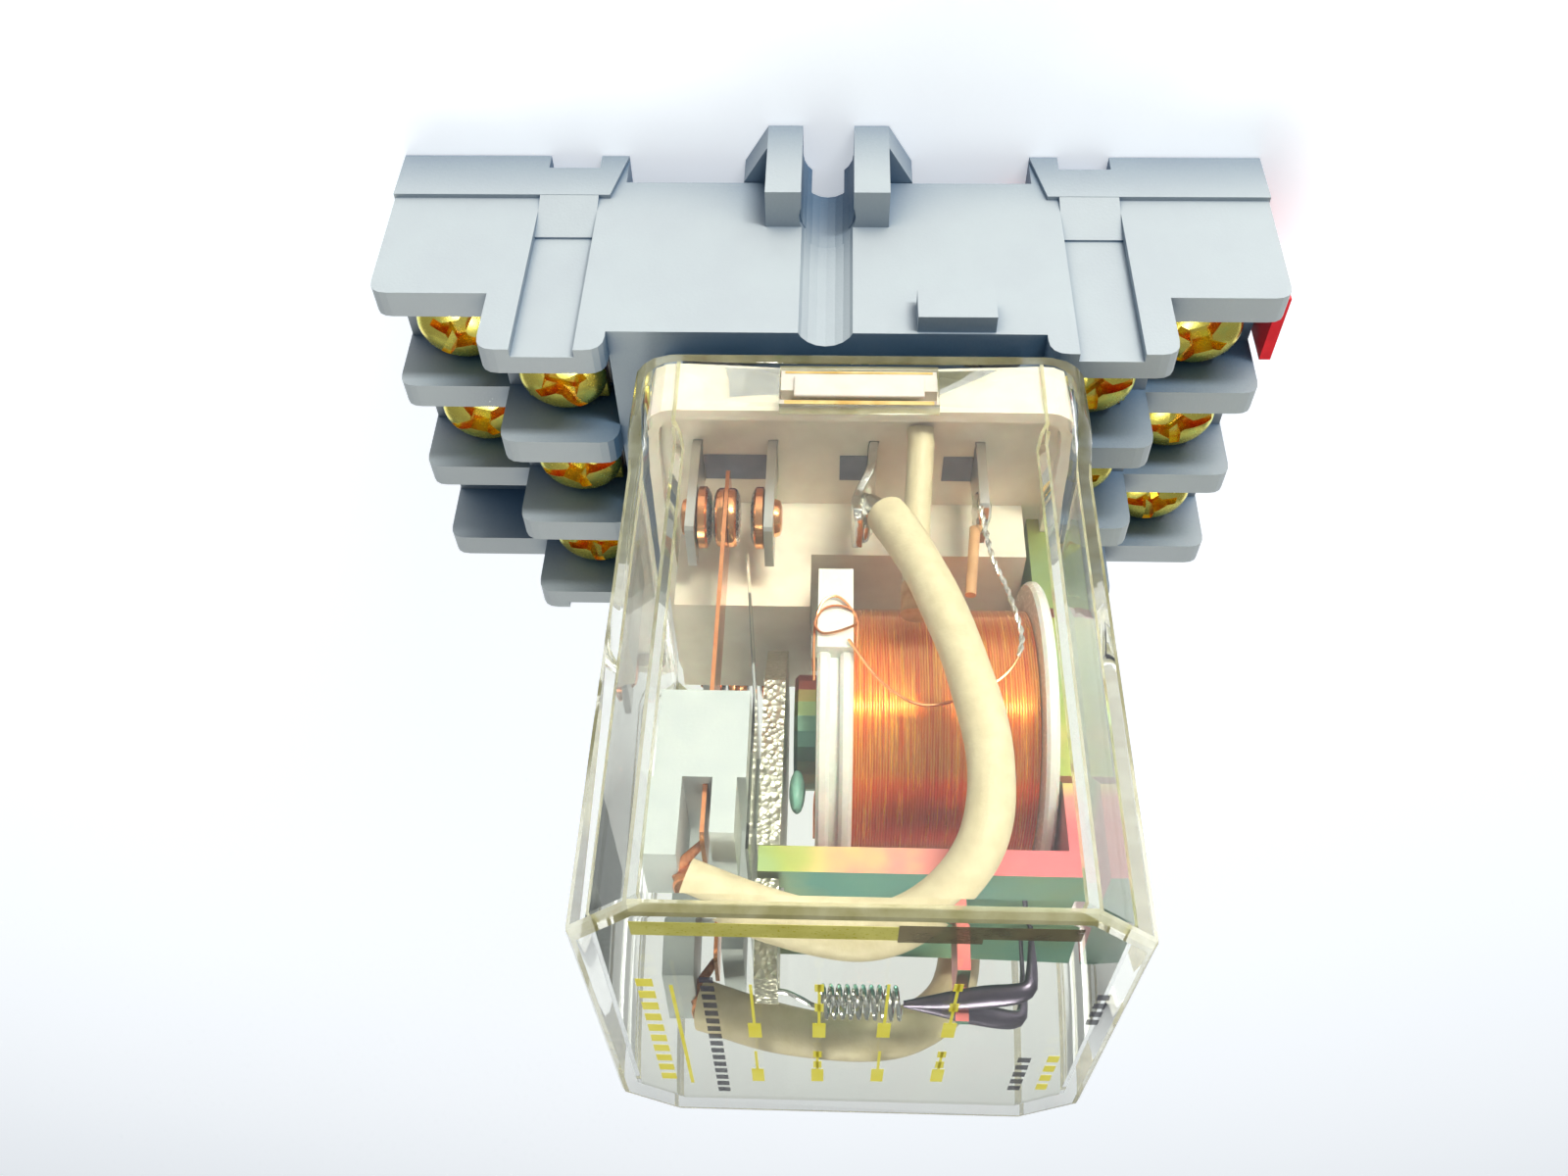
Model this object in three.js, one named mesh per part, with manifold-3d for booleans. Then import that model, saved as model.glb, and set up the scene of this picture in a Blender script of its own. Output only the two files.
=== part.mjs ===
// Plug-in control relay in its rail socket. Millimetres, +Z up along the plug axis.
// The origin is the middle of the mounting base's underside. The long sides face -Y and +Y.
import * as THREE from "three";
import { mergeVertices } from "three/addons/utils/BufferGeometryUtils.js";
import Module from "manifold-3d";

const wasm = await Module();
wasm.setup();

// ---------------------------------------------------------------- driving dimensions

// Clearances.
const fit = 0.1; // between pieces that seat or slide on each other
const gap = 0.3; // between pieces that must never touch

// Socket housing: four barrier walls side by side, two terminal tiers at each end.
const socketWidth = 35; // Y
const wallThickness = 2.6;
const wallCount = 4;
const baseHalf = 38.5; // half length at the mounting face
const outerHalf = 38.2; // half length at the top of the outer tier
const innerHalf = 28.2;
const centreHalf = 17.8;
const outerTop = 18.2;
const innerTop = 24.9;
const centreTop = 22.7;
const outerFloor = 11.6; // where the outer terminals sit
const innerFloor = 17.9;
const seatTop = 27.1; // island that the relay rests on
const shell = 2; // floors and end walls of the hollow housing
const railWidth = 36; // mounting rail with its running room
const railDepth = 3.3;
const plateTop = 4.9; // inner face of the bottom plate

// Relay.
const relayX = -2.7; // the relay sits off the socket's middle
const coverLength = 35.6; // X
const coverWidth = 39; // Y
const relayTop = 73.2;
const coverWall = 1.3;
const coverChamfer = 4.2;
const collarHeight = 7.3;
const baseBottom = seatTop + fit;
const baseTop = 30.8;
const baseLip = 32.2;

// Terminals.
const bladeWidth = 4.75; // Y, quick-connect size
const bladeThickness = 0.7;
const bladeEnd = 17;
const stripThickness = 0.8;
const stripWidth = 6;
const screwHeadRadius = 3.8;
const screwHeadHeight = 2.2;
const screwShankRadius = 1.6;
const screwShankLength = 6;
const clampSide = 7.4;
const clampThickness = 1.2;
const screwTravel = 2.5;

// Magnet.
const coilZ = 49.4; // coil axis runs along X at Y = 0
const flangeRadius = 12;
const flangeThickness = 0.95;
const windingRadius = 9.75;
const coreRadius = 3.5;
const poleRadius = 4.5;
const poleFace = 1.95; // X
const poleThickness = 1.65;
const yokeThickness = 1.9;
const yokeBottom = 63.2; // Z, underside of the long leg
const yokeHalf = 8;
const yokeEnd = -18.7; // X, outside of the short leg
const yokeFoot = 4; // half width where the short leg stands on the base
const armatureX = 2.55; // face towards the pole
const armatureThickness = 1.6;
const armatureHalf = 7.5;

// Contacts.
const contactZ = 36.7;
const contactRadius = 2.45;
const contactBladeTop = 39.8;
const coilTagTop = 37.2;
const ncBladeX = 10.1;
const noBladeX = 4.1;
const comBladeX = -3.9;
const coilBladeX = -12.4;
const armX = 7.45;
const armThickness = 0.3;
const armWidth = 4.4;
const ncFace = 8.6;
const noFace = 5.6;

// ---------------------------------------------------------------- derived places

const wallPitch = (socketWidth - wallThickness) / (wallCount - 1);
const rows = [-wallPitch, 0, wallPitch]; // Y of the three terminal rows
const poles = { a: rows[0], b: rows[2] };
const halfSocket = socketWidth / 2;
const wallInside = halfSocket - wallThickness;
const rowWidth = wallPitch - wallThickness;
const yokeTop = yokeBottom + yokeThickness;
const coverHalfX = coverLength / 2;
const coverHalfY = coverWidth / 2;
const cavityHalfX = coverHalfX - coverWall;
const cavityHalfY = coverHalfY - coverWall;
const cavityTop = relayTop - coverWall;
const armatureFar = armatureX + armatureThickness; // face away from the pole
const far = 100; // a cut that runs clean through

// ---------------------------------------------------------------- materials

const material = (color, roughness, metalness = 0, extra = {}) =>
  new THREE.MeshStandardMaterial({ color, roughness, metalness, ...extra });
const greyPlastic = material(0xc3cdcc, 0.6);
const redPlastic = material(0xe0161c, 0.45);
const platedScrew = material(0xd9b84a, 0.25, 1);
const tinnedBrass = material(0xb9b6ae, 0.35, 1);
const clearPlastic = material(0xf2f2dc, 0.08, 0, { transparent: true, opacity: 0.25 });
const ivoryPlastic = material(0xf1ead6, 0.5);
const copper = material(0xd8793f, 0.3, 1);
const enamelledCopper = material(0xe0702c, 0.3, 1);
const paleGreyPlastic = material(0xe2e5ea, 0.5);
const nickelSteel = material(0xcac2b0, 0.4, 1);
const chromatedSteel = material(0xb9b472, 0.3, 1);
const whitePlastic = material(0xf4f4ef, 0.45);
const springSteel = material(0xa9a9a6, 0.3, 1);
const darkSteel = material(0x4c4a55, 0.4, 1);
const creamSleeve = material(0xece3c6, 0.55);
const clearFilm = material(0xe8ead6, 0.2, 0, { transparent: true, opacity: 0.5 });

// ---------------------------------------------------------------- solid helpers

// A closed three.js geometry as a solid that can be joined and cut.
function solid(geometry) {
  const bare = geometry.clone();
  bare.deleteAttribute("normal");
  bare.deleteAttribute("uv");
  const merged = mergeVertices(bare, 1e-4);
  return new wasm.Manifold(
    new wasm.Mesh({
      numProp: 3,
      vertProperties: new Float32Array(merged.attributes.position.array),
      triVerts: new Uint32Array(merged.index.array),
    }),
  );
}

function meshOf(name, body, finish) {
  const data = body.getMesh();
  const geometry = new THREE.BufferGeometry();
  geometry.setAttribute("position", new THREE.BufferAttribute(data.vertProperties, 3));
  geometry.setIndex(new THREE.BufferAttribute(data.triVerts, 1));
  geometry.computeVertexNormals();
  const mesh = new THREE.Mesh(geometry, finish);
  mesh.name = name;
  return mesh;
}

const joined = (bodies) => bodies.reduce((all, next) => all.add(next));

function box(x0, x1, y0, y1, z0, z1) {
  const geometry = new THREE.BoxGeometry(x1 - x0, y1 - y0, z1 - z0);
  geometry.translate((x0 + x1) / 2, (y0 + y1) / 2, (z0 + z1) / 2);
  return solid(geometry);
}

// An outline whose listed corners may be rounded: each point is [u, v] or [u, v, radius].
function outline(points) {
  const shape = new THREE.Shape();
  points.forEach(([u, v, radius = 0], i) => {
    const before = points[(i + points.length - 1) % points.length];
    const after = points[(i + 1) % points.length];
    const towards = ([pu, pv]) => {
      const length = Math.hypot(pu - u, pv - v);
      return [u + ((pu - u) * radius) / length, v + ((pv - v) * radius) / length];
    };
    const start = radius ? towards(before) : [u, v];
    if (i === 0) shape.moveTo(...start);
    else shape.lineTo(...start);
    if (radius) shape.quadraticCurveTo(u, v, ...towards(after));
  });
  shape.closePath();
  return shape;
}

function extruded(shape, depth, curveSegments = 4) {
  return new THREE.ExtrudeGeometry(shape, { depth, curveSegments, bevelEnabled: false });
}

// Extrude an outline in XY from z0 to z1.
function prismZ(points, z0, z1) {
  return solid(extruded(outline(points), z1 - z0).translate(0, 0, z0));
}

// Extrude an outline in XZ from y0 to y1.
function prismY(points, y0, y1) {
  return solid(extruded(outline(points), y1 - y0).rotateX(Math.PI / 2).translate(0, y1, 0));
}

// Extrude an outline in YZ from x0 to x1.
function prismX(points, x0, x1) {
  const turn = new THREE.Matrix4().makeBasis(
    new THREE.Vector3(0, 1, 0),
    new THREE.Vector3(0, 0, 1),
    new THREE.Vector3(1, 0, 0),
  );
  return solid(extruded(outline(points), x1 - x0).applyMatrix4(turn).translate(x0, 0, 0));
}

const mirroredX = (points) => points.map(([x, z, r]) => [-x, z, r]).reverse();

function roundedRect(halfX, halfY, radius, centreX = 0) {
  return [
    [centreX - halfX, -halfY, radius],
    [centreX + halfX, -halfY, radius],
    [centreX + halfX, halfY, radius],
    [centreX - halfX, halfY, radius],
  ];
}

function octagon(halfX, halfY, cut, centreX = 0) {
  return [
    [centreX - halfX + cut, -halfY],
    [centreX + halfX - cut, -halfY],
    [centreX + halfX, -halfY + cut],
    [centreX + halfX, halfY - cut],
    [centreX + halfX - cut, halfY],
    [centreX - halfX + cut, halfY],
    [centreX - halfX, halfY - cut],
    [centreX - halfX, -halfY + cut],
  ];
}

// A turned solid about +Z from [radius, height] pairs that start and end on the axis, or a
// ring when they don't.
function turned(profile, segments = 20) {
  const closed = profile[0][0] > 0 ? [...profile, profile[0]] : profile;
  const points = closed.map(([r, h]) => new THREE.Vector2(r, h));
  return solid(new THREE.LatheGeometry(points, segments).rotateX(Math.PI / 2));
}

// The same, with its axis along +X.
const turnedX = (profile, segments) => turned(profile, segments).rotate([0, 90, 0]);

const pin = (radius, z0, z1, segments = 12) =>
  turned([[0, z0], [radius, z0], [radius, z1], [0, z1]], segments);
const pinX = (radius, x0, x1, segments) =>
  turnedX([[0, x0], [radius, x0], [radius, x1], [0, x1]], segments);

// A round tube or wire along a smooth curve through the points.
function wire(points, radius, sides, steps) {
  const path = new THREE.CatmullRomCurve3(points.map((p) => new THREE.Vector3(...p)));
  const section = new THREE.Shape();
  section.absarc(0, 0, radius, 0, 2 * Math.PI, false);
  const geometry = new THREE.ExtrudeGeometry(section, {
    extrudePath: path,
    steps,
    curveSegments: sides / 2,
    bevelEnabled: false,
  });
  return solid(geometry);
}

// ---------------------------------------------------------------- socket

const terminals = [];
for (const side of [1, -1])
  for (const tier of ["outer", "inner"])
    rows.forEach((y, row) => {
      // One position of the twelve stays empty: the coil takes two places, not three.
      if (side === 1 && tier === "outer" && row === 2) return;
      terminals.push({ side, tier, row, y });
    });

const tiers = {
  outer: { floor: outerFloor, x: (outerHalf + innerHalf) / 2 - 0.7, half: outerHalf },
  inner: { floor: innerFloor, x: (innerHalf + centreHalf) / 2 - 0.5, half: innerHalf },
};
const stripTop = (tier) => tiers[tier].floor + stripThickness;
const stripInner = (tier) => tiers[tier].x - clampSide / 2;

const earHeight = 9.4;
const earFlange = 3.2;
const earReach = 3.6;
const earHalf = 5.3;
const earFoot = 7.5;
const earSlot = 2.25;
const grooveRadius = 2.45;
const channelX = 22.8;
const channelWidth = 5.2;
const channelDepth = 0.8;
const stripZ = 5.6; // top of the raised band along the foot of each long side
const bandProud = 0.4;
const latchY0 = -14.2;
const latchY1 = -7.2;
const latchHeight = 2.8;

function wallPoints() {
  const right = [
    [railWidth / 2, railDepth],
    [railWidth / 2, 0],
    [baseHalf, 0],
    [outerHalf, outerTop, 1.5],
    [innerHalf, outerTop],
    [innerHalf, innerTop, 1.6],
    [centreHalf, innerTop, 1.6],
    [centreHalf, centreTop],
  ];
  return [...right, ...mirroredX(right)];
}

// Solid floors and ends that join the four walls.
function housingCore() {
  const corePoints = [
    [railWidth / 2, railDepth],
    [railWidth / 2, 0],
    [baseHalf, 0],
    [outerHalf, outerFloor],
    [innerHalf, outerFloor],
    [innerHalf, innerFloor],
    [centreHalf, innerFloor],
    [centreHalf, centreTop],
  ];
  const core = prismY([...corePoints, ...mirroredX(corePoints)], -wallInside, wallInside);
  const islandEnd = relayX + coverHalfX - 1.8;
  const island = box(-centreHalf + 0.2, islandEnd, -wallInside, wallInside, innerFloor, seatTop);
  return core.add(island);
}

// The hollow under one row, stepped like the floors above it.
function rowHollow(y) {
  const hollow = [
    [baseHalf - shell, -1],
    [outerHalf - shell, outerFloor - shell],
    [innerHalf - 1.4, outerFloor - shell],
    [innerHalf - 1.4, innerFloor - shell],
    [centreHalf - 1.4, innerFloor - shell],
  ];
  const island = relayX + coverHalfX - 1.8 - 1.6;
  const roof = [
    [island, innerFloor - shell],
    [island, seatTop - shell],
    [-centreHalf + 1.8, seatTop - shell],
    [-centreHalf + 1.8, innerFloor - shell],
  ];
  const points = [...hollow, ...roof, ...mirroredX(hollow)];
  return prismY(points, y - rowWidth / 2, y + rowWidth / 2);
}

// Mounting ear, wider at its foot, with an open slot for the screw.
function ear() {
  const reach = -halfSocket - earReach;
  const root = -halfSocket + 1;
  const flange = prismZ(
    [
      [-earFoot, root],
      [-earFoot, -halfSocket],
      [-earHalf, reach],
      [earHalf, reach],
      [earFoot, -halfSocket],
      [earFoot, root],
    ],
    0,
    earFlange,
  );
  return flange.add(box(-earHalf, earHalf, reach, root, 0, earHeight));
}

function earCuts() {
  const slotY = -halfSocket - 0.7;
  const slot = pin(earSlot, -1, earHeight + 1, 20).translate([0, slotY, 0]);
  const mouth = box(-earSlot, earSlot, -halfSocket - earReach - 1, slotY, -1, earHeight + 1);
  const groove = pin(grooveRadius, earHeight - 0.5, far, 20);
  return slot.add(mouth).add(groove.translate([0, -halfSocket - 1, 0]));
}

// What one long side carries. It is made for the -Y side and turned round for the other.
function sideDetails() {
  const face = -halfSocket;
  const band = (side) =>
    prismY(
      (side > 0 ? (p) => p : mirroredX)([
        [railWidth / 2, 0],
        [baseHalf, 0],
        [baseHalf, stripZ],
        [railWidth / 2 + 1.2, stripZ],
      ]),
      face - bandProud,
      face + 0.5,
    );
  const wedge = (x) =>
    prismX(
      [
        [face + channelDepth, stripZ - 0.2],
        [face - bandProud, stripZ - 0.2],
        [face + channelDepth - 0.2, stripZ + 4.6],
        [face + channelDepth, stripZ + 4.6],
      ],
      x - channelWidth / 2,
      x + channelWidth / 2,
    );
  const channel = (x) =>
    box(
      x - channelWidth / 2,
      x + channelWidth / 2,
      face - 1,
      face + channelDepth,
      stripZ,
      innerTop + 1,
    );
  const notch = (x) =>
    box(x - channelWidth / 2 + 0.3, x + channelWidth / 2 - 0.3, face - 2, face + 1.4, -1, 1.75);
  const both = (make) => [make(channelX), make(-channelX)];
  return {
    add: joined([
      band(1),
      band(-1),
      ear(),
      box(-13.7, -7.4, face - 1.6, face + 0.5, 19.2, centreTop - 0.2),
    ]),
    cut: joined([...both(channel), ...both(notch), earCuts()]),
    after: joined(both(wedge)),
  };
}

function socketBody() {
  const walls = [];
  for (let i = 0; i < wallCount; i++) {
    const y = -halfSocket + i * wallPitch;
    walls.push(prismY(wallPoints(), y, y + wallThickness));
  }
  let body = joined([housingCore(), ...walls]);
  for (const y of rows) body = body.subtract(rowHollow(y));
  // One open room under the relay lets strips cross from row to row.
  const roomHalf = centreHalf - 2.8;
  body = body.subtract(box(-roomHalf, roomHalf - 5, -wallInside, wallInside, -1, 11));
  // The inner walls stand on the bottom plate.
  const plateRoom = [-baseHalf + shell, baseHalf - shell, -wallInside, wallInside];
  body = body.subtract(box(...plateRoom, -1, plateTop + fit));
  for (const turn of [0, 180]) {
    const { add, cut, after } = sideDetails();
    body = body.add(add.rotate([0, 0, turn]));
    body = body.subtract(cut.rotate([0, 0, turn]));
    body = body.add(after.rotate([0, 0, turn]));
  }
  for (const { side, tier, y } of terminals) {
    const x = side * tiers[tier].x;
    const floor = tiers[tier].floor;
    body = body.subtract(pin(screwShankRadius + 0.2, floor - 5, floor + 1).translate([x, y, 0]));
    const slotX = side * (stripInner(tier) + stripThickness / 2);
    const halfSlot = stripThickness / 2 + fit;
    const halfStrip = stripWidth / 2 + fit;
    const slot = [slotX - halfSlot, slotX + halfSlot, y - halfStrip, y + halfStrip];
    body = body.subtract(box(...slot, floor - 5, floor + 1));
  }
  for (const x of [ncBladeX, noBladeX, comBladeX, coilBladeX])
    for (const y of rows) {
      const halfSlot = bladeThickness / 2 + gap;
      const halfBlade = bladeWidth / 2 + gap;
      const slot = [x - halfSlot, x + halfSlot, y - halfBlade, y + halfBlade];
      body = body.subtract(box(...slot, seatTop - 4, seatTop + 1));
    }
  const latchPath = box(-far, -baseHalf + 3, latchY0 - fit, latchY1 + fit, -1, latchHeight + gap);
  return body.subtract(latchPath);
}

const latchWindow = { x0: -31.2, x1: -23.8, half: 1.9 };
const latchMiddle = (latchY0 + latchY1) / 2;
const latchSpringRadius = 1.1;
const latchSpringZ = 1.55;

function bottomPlate() {
  const half = baseHalf - shell - fit;
  const points = [
    [railWidth / 2, 0],
    [half, 0],
    [half, plateTop],
  ];
  // A shallow relief at each end keeps the rail's seat clear of the hooking lips.
  const relief = [
    [railWidth / 2 - 2, railDepth],
    [railWidth / 2 - 2, railDepth + 0.3],
    [railWidth / 2, railDepth + 0.3],
  ];
  const profile = [...relief, ...points];
  let plate = prismY(
    [...profile, ...mirroredX(profile)],
    -wallInside + fit,
    wallInside - fit,
  );
  const lip = box(railWidth / 2 - 1.6, railWidth / 2 + 1, -8, 8, 0, 1.6);
  const path = [latchY0 - fit, latchY1 + fit, -1, latchHeight + gap];
  plate = plate.subtract(box(-far, -railWidth / 2 + 5, ...path));
  const peg = box(
    latchWindow.x0 + 0.2,
    latchWindow.x0 + 1.3,
    latchMiddle - 1.3,
    latchMiddle + 1.3,
    0.6,
    railDepth + 0.4,
  );
  return joined([plate, lip, peg]);
}

function railLatch() {
  const z0 = 0.3;
  const tabTop = 14.5;
  const tabInside = -baseHalf - fit;
  const tabOutside = tabInside - 1;
  const plate = box(tabOutside, -railWidth / 2, latchY0, latchY1, z0, latchHeight);
  const lip = prismY(
    [
      [-railWidth / 2 - 0.5, z0],
      [-railWidth / 2 + 1.2, z0],
      [-railWidth / 2 + 1.6, 0.9],
      [-railWidth / 2 + 1.6, 1.6],
      [-railWidth / 2 - 0.5, 1.6],
    ],
    latchY0,
    latchY1,
  );
  const tab = box(tabOutside, tabInside, latchY0, latchY1, z0, tabTop);
  const { x0, x1, half } = latchWindow;
  const window = box(x0, x1, latchMiddle - half, latchMiddle + half, -1, latchHeight + 1);
  return joined([plate, lip, tab]).subtract(window);
}

function latchSpring() {
  const x0 = latchWindow.x0 + 1.4;
  const x1 = latchWindow.x1 - fit;
  const inner = latchSpringRadius - 0.5;
  const sleeve = turnedX(
    [[inner, x0], [latchSpringRadius, x0], [latchSpringRadius, x1], [inner, x1]],
    12,
  );
  return sleeve.translate([0, latchMiddle, latchSpringZ]);
}

// Pan-head screw with a cross recess and its captive square clamp plate.
function terminalScrew() {
  const clampTop = clampThickness;
  const headTop = clampTop + screwHeadHeight;
  const r = screwHeadRadius;
  const screw = turned(
    [
      [0, clampTop - screwShankLength],
      [screwShankRadius - 0.4, clampTop - screwShankLength],
      [screwShankRadius, clampTop - screwShankLength + 0.6],
      [screwShankRadius, clampTop - 0.3],
      [r, clampTop - 0.3],
      [r, clampTop + 0.7],
      [r * 0.83, clampTop + 1.6],
      [r * 0.5, headTop - 0.1],
      [0, headTop],
    ],
    12,
  );
  const half = clampSide / 2;
  const clamp = prismZ(
    [[-half, -half, 0.8], [half, -half, 0.8], [half, half, 0.8], [-half, half, 0.8]],
    0,
    clampTop,
  );
  const slotHalf = 0.45;
  const recess = joined([
    box(-r * 0.72, r * 0.72, -slotHalf, slotHalf, headTop - 1.1, headTop + 1),
    box(-slotHalf, slotHalf, -r * 0.6, r * 0.6, headTop - 1.1, headTop + 1),
  ]);
  return screw.add(clamp).subtract(recess);
}

// Clip that grips one blade: a U that opens upwards.
const clipHeight = 23;
function clipPoints(x, z) {
  const inside = bladeThickness / 2 + fit;
  const outside = inside + 0.6;
  return [
    [x - outside, z],
    [x + outside, z],
    [x + outside, clipHeight],
    [x + inside, clipHeight],
    [x + inside, z + stripThickness],
    [x - inside, z + stripThickness],
    [x - inside, clipHeight],
    [x - outside, clipHeight],
  ];
}

const bladeOf = {
  "1 inner": ncBladeX,
  "1 outer": noBladeX,
  "-1 outer": comBladeX,
  "-1 inner": coilBladeX,
};

// Contact strip from under a screw, down through the floor, along and up to its clip.
function terminalStrip({ side, tier, row, y }) {
  const floor = tiers[tier].floor;
  const run = tier === "outer" ? 7 : 12;
  const bladeX = bladeOf[side + " " + tier];
  const under = side * stripInner(tier);
  const away = side * (tiers[tier].x + clampSide / 2);
  const [y0, y1] = [y - stripWidth / 2, y + stripWidth / 2];
  const span = (a, b) => [Math.min(a, b), Math.max(a, b)];
  const down = span(under, under + side * stripThickness);
  const pad = box(...span(under, away), y0, y1, floor, floor + stripThickness);
  const drop = box(...down, y0, y1, run, floor + stripThickness);
  // The strip beside the empty place serves the last row, so it crosses to it.
  const crosses = side === 1 && tier === "outer" && row === 1;
  const clipY = crosses ? rows[2] : y;
  const along = box(
    ...span(bladeX, under + side * stripThickness),
    y - 2,
    y + 2,
    run,
    run + stripThickness,
  );
  const clip = prismY(clipPoints(bladeX, run), clipY - 2, clipY + 2);
  const cross = box(bladeX - 1, bladeX + 1, y, clipY + 1, run, run + stripThickness);
  const pieces = [pad, drop, along, clip];
  if (crosses) pieces.push(cross);
  const hole = pin(screwShankRadius + 0.15, floor - 1, floor + 2);
  return joined(pieces).subtract(hole.translate([side * tiers[tier].x, y, 0]));
}

// ---------------------------------------------------------------- relay

const windowX0 = -8.7;
const windowX1 = 3.4;
const windowZ0 = 28.6;
const windowZ1 = 32.6;

function cover() {
  const collarTop = baseBottom + collarHeight;
  const outside = joined([
    prismZ(roundedRect(coverHalfX, coverHalfY, 3.4, relayX), baseBottom, collarTop),
    prismZ(octagon(coverHalfX, coverHalfY, coverChamfer, relayX), collarTop - 0.5, relayTop),
  ]);
  const innerCut = coverChamfer - coverWall * 0.6;
  const inside = joined([
    prismZ(roundedRect(cavityHalfX, cavityHalfY, 2.4, relayX), 0, collarTop - coverWall),
    prismZ(octagon(cavityHalfX, cavityHalfY, innerCut, relayX), collarTop - 2, cavityTop),
  ]);
  const windows = box(windowX0, windowX1, -far, far, windowZ0, windowZ1);
  return outside.subtract(inside).subtract(windows);
}

const barrierHalf = 5.7;
const barrierTop = 41.4;
const barTop = 36.2;

const pressDepth = 1.6;
const pressRooms = [
  [noBladeX + 0.8, ncBladeX - 0.8],
  [comBladeX + 0.8, comBladeX + 2.2],
  [coilBladeX + 0.8, coilBladeX + 2.4],
];

function relayBase() {
  const halfX = cavityHalfX - fit;
  const halfY = cavityHalfY - fit;
  const plate = prismZ(roundedRect(halfX, halfY, 2.4, relayX), baseBottom, baseLip);
  const pocket = prismZ(roundedRect(halfX - 1, halfY - 1, 1.6, relayX), baseTop, baseLip + 1);
  const barrier = box(0.9, relayX + halfX - 2, -barrierHalf, barrierHalf, baseTop - 0.5, barrierTop);
  const bar = box(relayX - halfX + 2.6, 1, -barrierHalf, barrierHalf, baseTop - 0.5, barTop);
  const snap = box(
    windowX0 + fit,
    windowX1 - fit,
    -coverHalfY + 0.4,
    coverHalfY - 0.4,
    windowZ0 + fit,
    baseTop,
  );
  const foot = yokeFoot + fit;
  const footRoom = box(-far, yokeEnd + 3, -foot, foot, baseTop, baseLip + 1);
  let base = joined([plate.subtract(pocket).subtract(footRoom), barrier, bar, snap]);
  for (const x of [ncBladeX, noBladeX, comBladeX, coilBladeX])
    for (const y of Object.values(poles)) {
      const halfSlot = bladeThickness / 2 + 0.05;
      const halfBlade = bladeWidth / 2 + 0.05;
      const slot = [x - halfSlot, x + halfSlot, y - halfBlade, y + halfBlade];
      base = base.subtract(box(...slot, 0, baseTop + 1));
    }
  // Open recesses beside the blades, where each is pressed in.
  for (const y of Object.values(poles))
    for (const [x0, x1] of pressRooms)
      base = base.subtract(box(x0, x1, y - 0.5, y + 2.1, baseTop - pressDepth, baseTop + 1));
  return base;
}

// Straight blade that plugs in below and carries a contact or a tag above.
function straightBlade(x, y, top, holeZ = 0) {
  const half = bladeThickness / 2;
  const tip = 0.25;
  const blade = prismX(
    [
      [y - bladeWidth / 2 + 0.8, bladeEnd],
      [y + bladeWidth / 2 - 0.8, bladeEnd],
      [y + bladeWidth / 2, bladeEnd + 1.2],
      [y + bladeWidth / 2, top - tip],
      [y + bladeWidth / 2 - tip, top],
      [y - bladeWidth / 2 + tip, top],
      [y - bladeWidth / 2, top - tip],
      [y - bladeWidth / 2, bladeEnd + 1.2],
    ],
    x - half,
    x + half,
  );
  if (!holeZ) return blade;
  const hole = pinX(rivetShank + 0.05, x - 2, x + 2, 12).translate([0, y, holeZ]);
  return blade.subtract(hole);
}

// Common blade: its tag leans away from the coil to meet the thick lead.
function commonBlade(y) {
  const half = bladeThickness / 2;
  const tag = [
    [comBladeX - half, bladeEnd],
    [comBladeX + half, bladeEnd],
    [comBladeX + half, 32.4],
    [comBladeX + half + 1.2, 38.4],
    [comBladeX - half + 1.2, 38.4],
    [comBladeX - half, 32.4],
  ];
  return prismY(tag, y - bladeWidth / 2, y + bladeWidth / 2);
}

const rivetShank = 1.1;
const rivetBack = 1.5;

// Fixed contact: a domed face on the arm's side of its blade and a riveted back.
function fixedContact(bladeX, face, y) {
  const towards = Math.sign(face - bladeX);
  const bladeSide = bladeX + (towards * bladeThickness) / 2;
  const backSide = bladeX - (towards * bladeThickness) / 2;
  const profile = [
    [0, backSide - towards * 0.6],
    [rivetBack, backSide - towards * 0.6],
    [rivetBack, backSide],
    [rivetShank, backSide],
    [rivetShank, bladeSide],
    [contactRadius, bladeSide],
    [contactRadius, face - towards * 0.3],
    [contactRadius - 0.5, face],
    [0, face],
  ];
  const ordered = towards > 0 ? profile : [...profile].reverse();
  return turnedX(ordered, 12).translate([0, y, contactZ]);
}

const movingHalf = 1.05;
function movingContact(y) {
  const half = armThickness / 2;
  const profile = [
    [0, -movingHalf],
    [contactRadius - 0.5, -movingHalf],
    [contactRadius - 0.1, -movingHalf + 0.3],
    [contactRadius - 0.1, -half],
    [rivetShank, -half],
    [rivetShank, half],
    [contactRadius - 0.1, half],
    [contactRadius - 0.1, movingHalf - 0.3],
    [contactRadius - 0.5, movingHalf],
    [0, movingHalf],
  ];
  return turnedX(profile, 12).translate([armX, y, contactZ]);
}

const armEnd = 65.2;
function contactArm(y) {
  const half = armThickness / 2;
  const strip = prismX(
    [
      [y - armWidth / 2, contactZ - 3.4, 1],
      [y + armWidth / 2, contactZ - 3.4, 1],
      [y + armWidth / 2, armEnd, 0.6],
      [y - armWidth / 2, armEnd, 0.6],
    ],
    armX - half,
    armX + half,
  );
  const hole = pinX(rivetShank + 0.05, armX - 1, armX + 1, 12).translate([0, y, contactZ]);
  return strip.subtract(hole);
}

const actuatorBottom = 54.7;
const actuatorWaist = 61.4;
const actuatorHalf = 14;
const leafX = armatureFar + 0.2;

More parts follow.
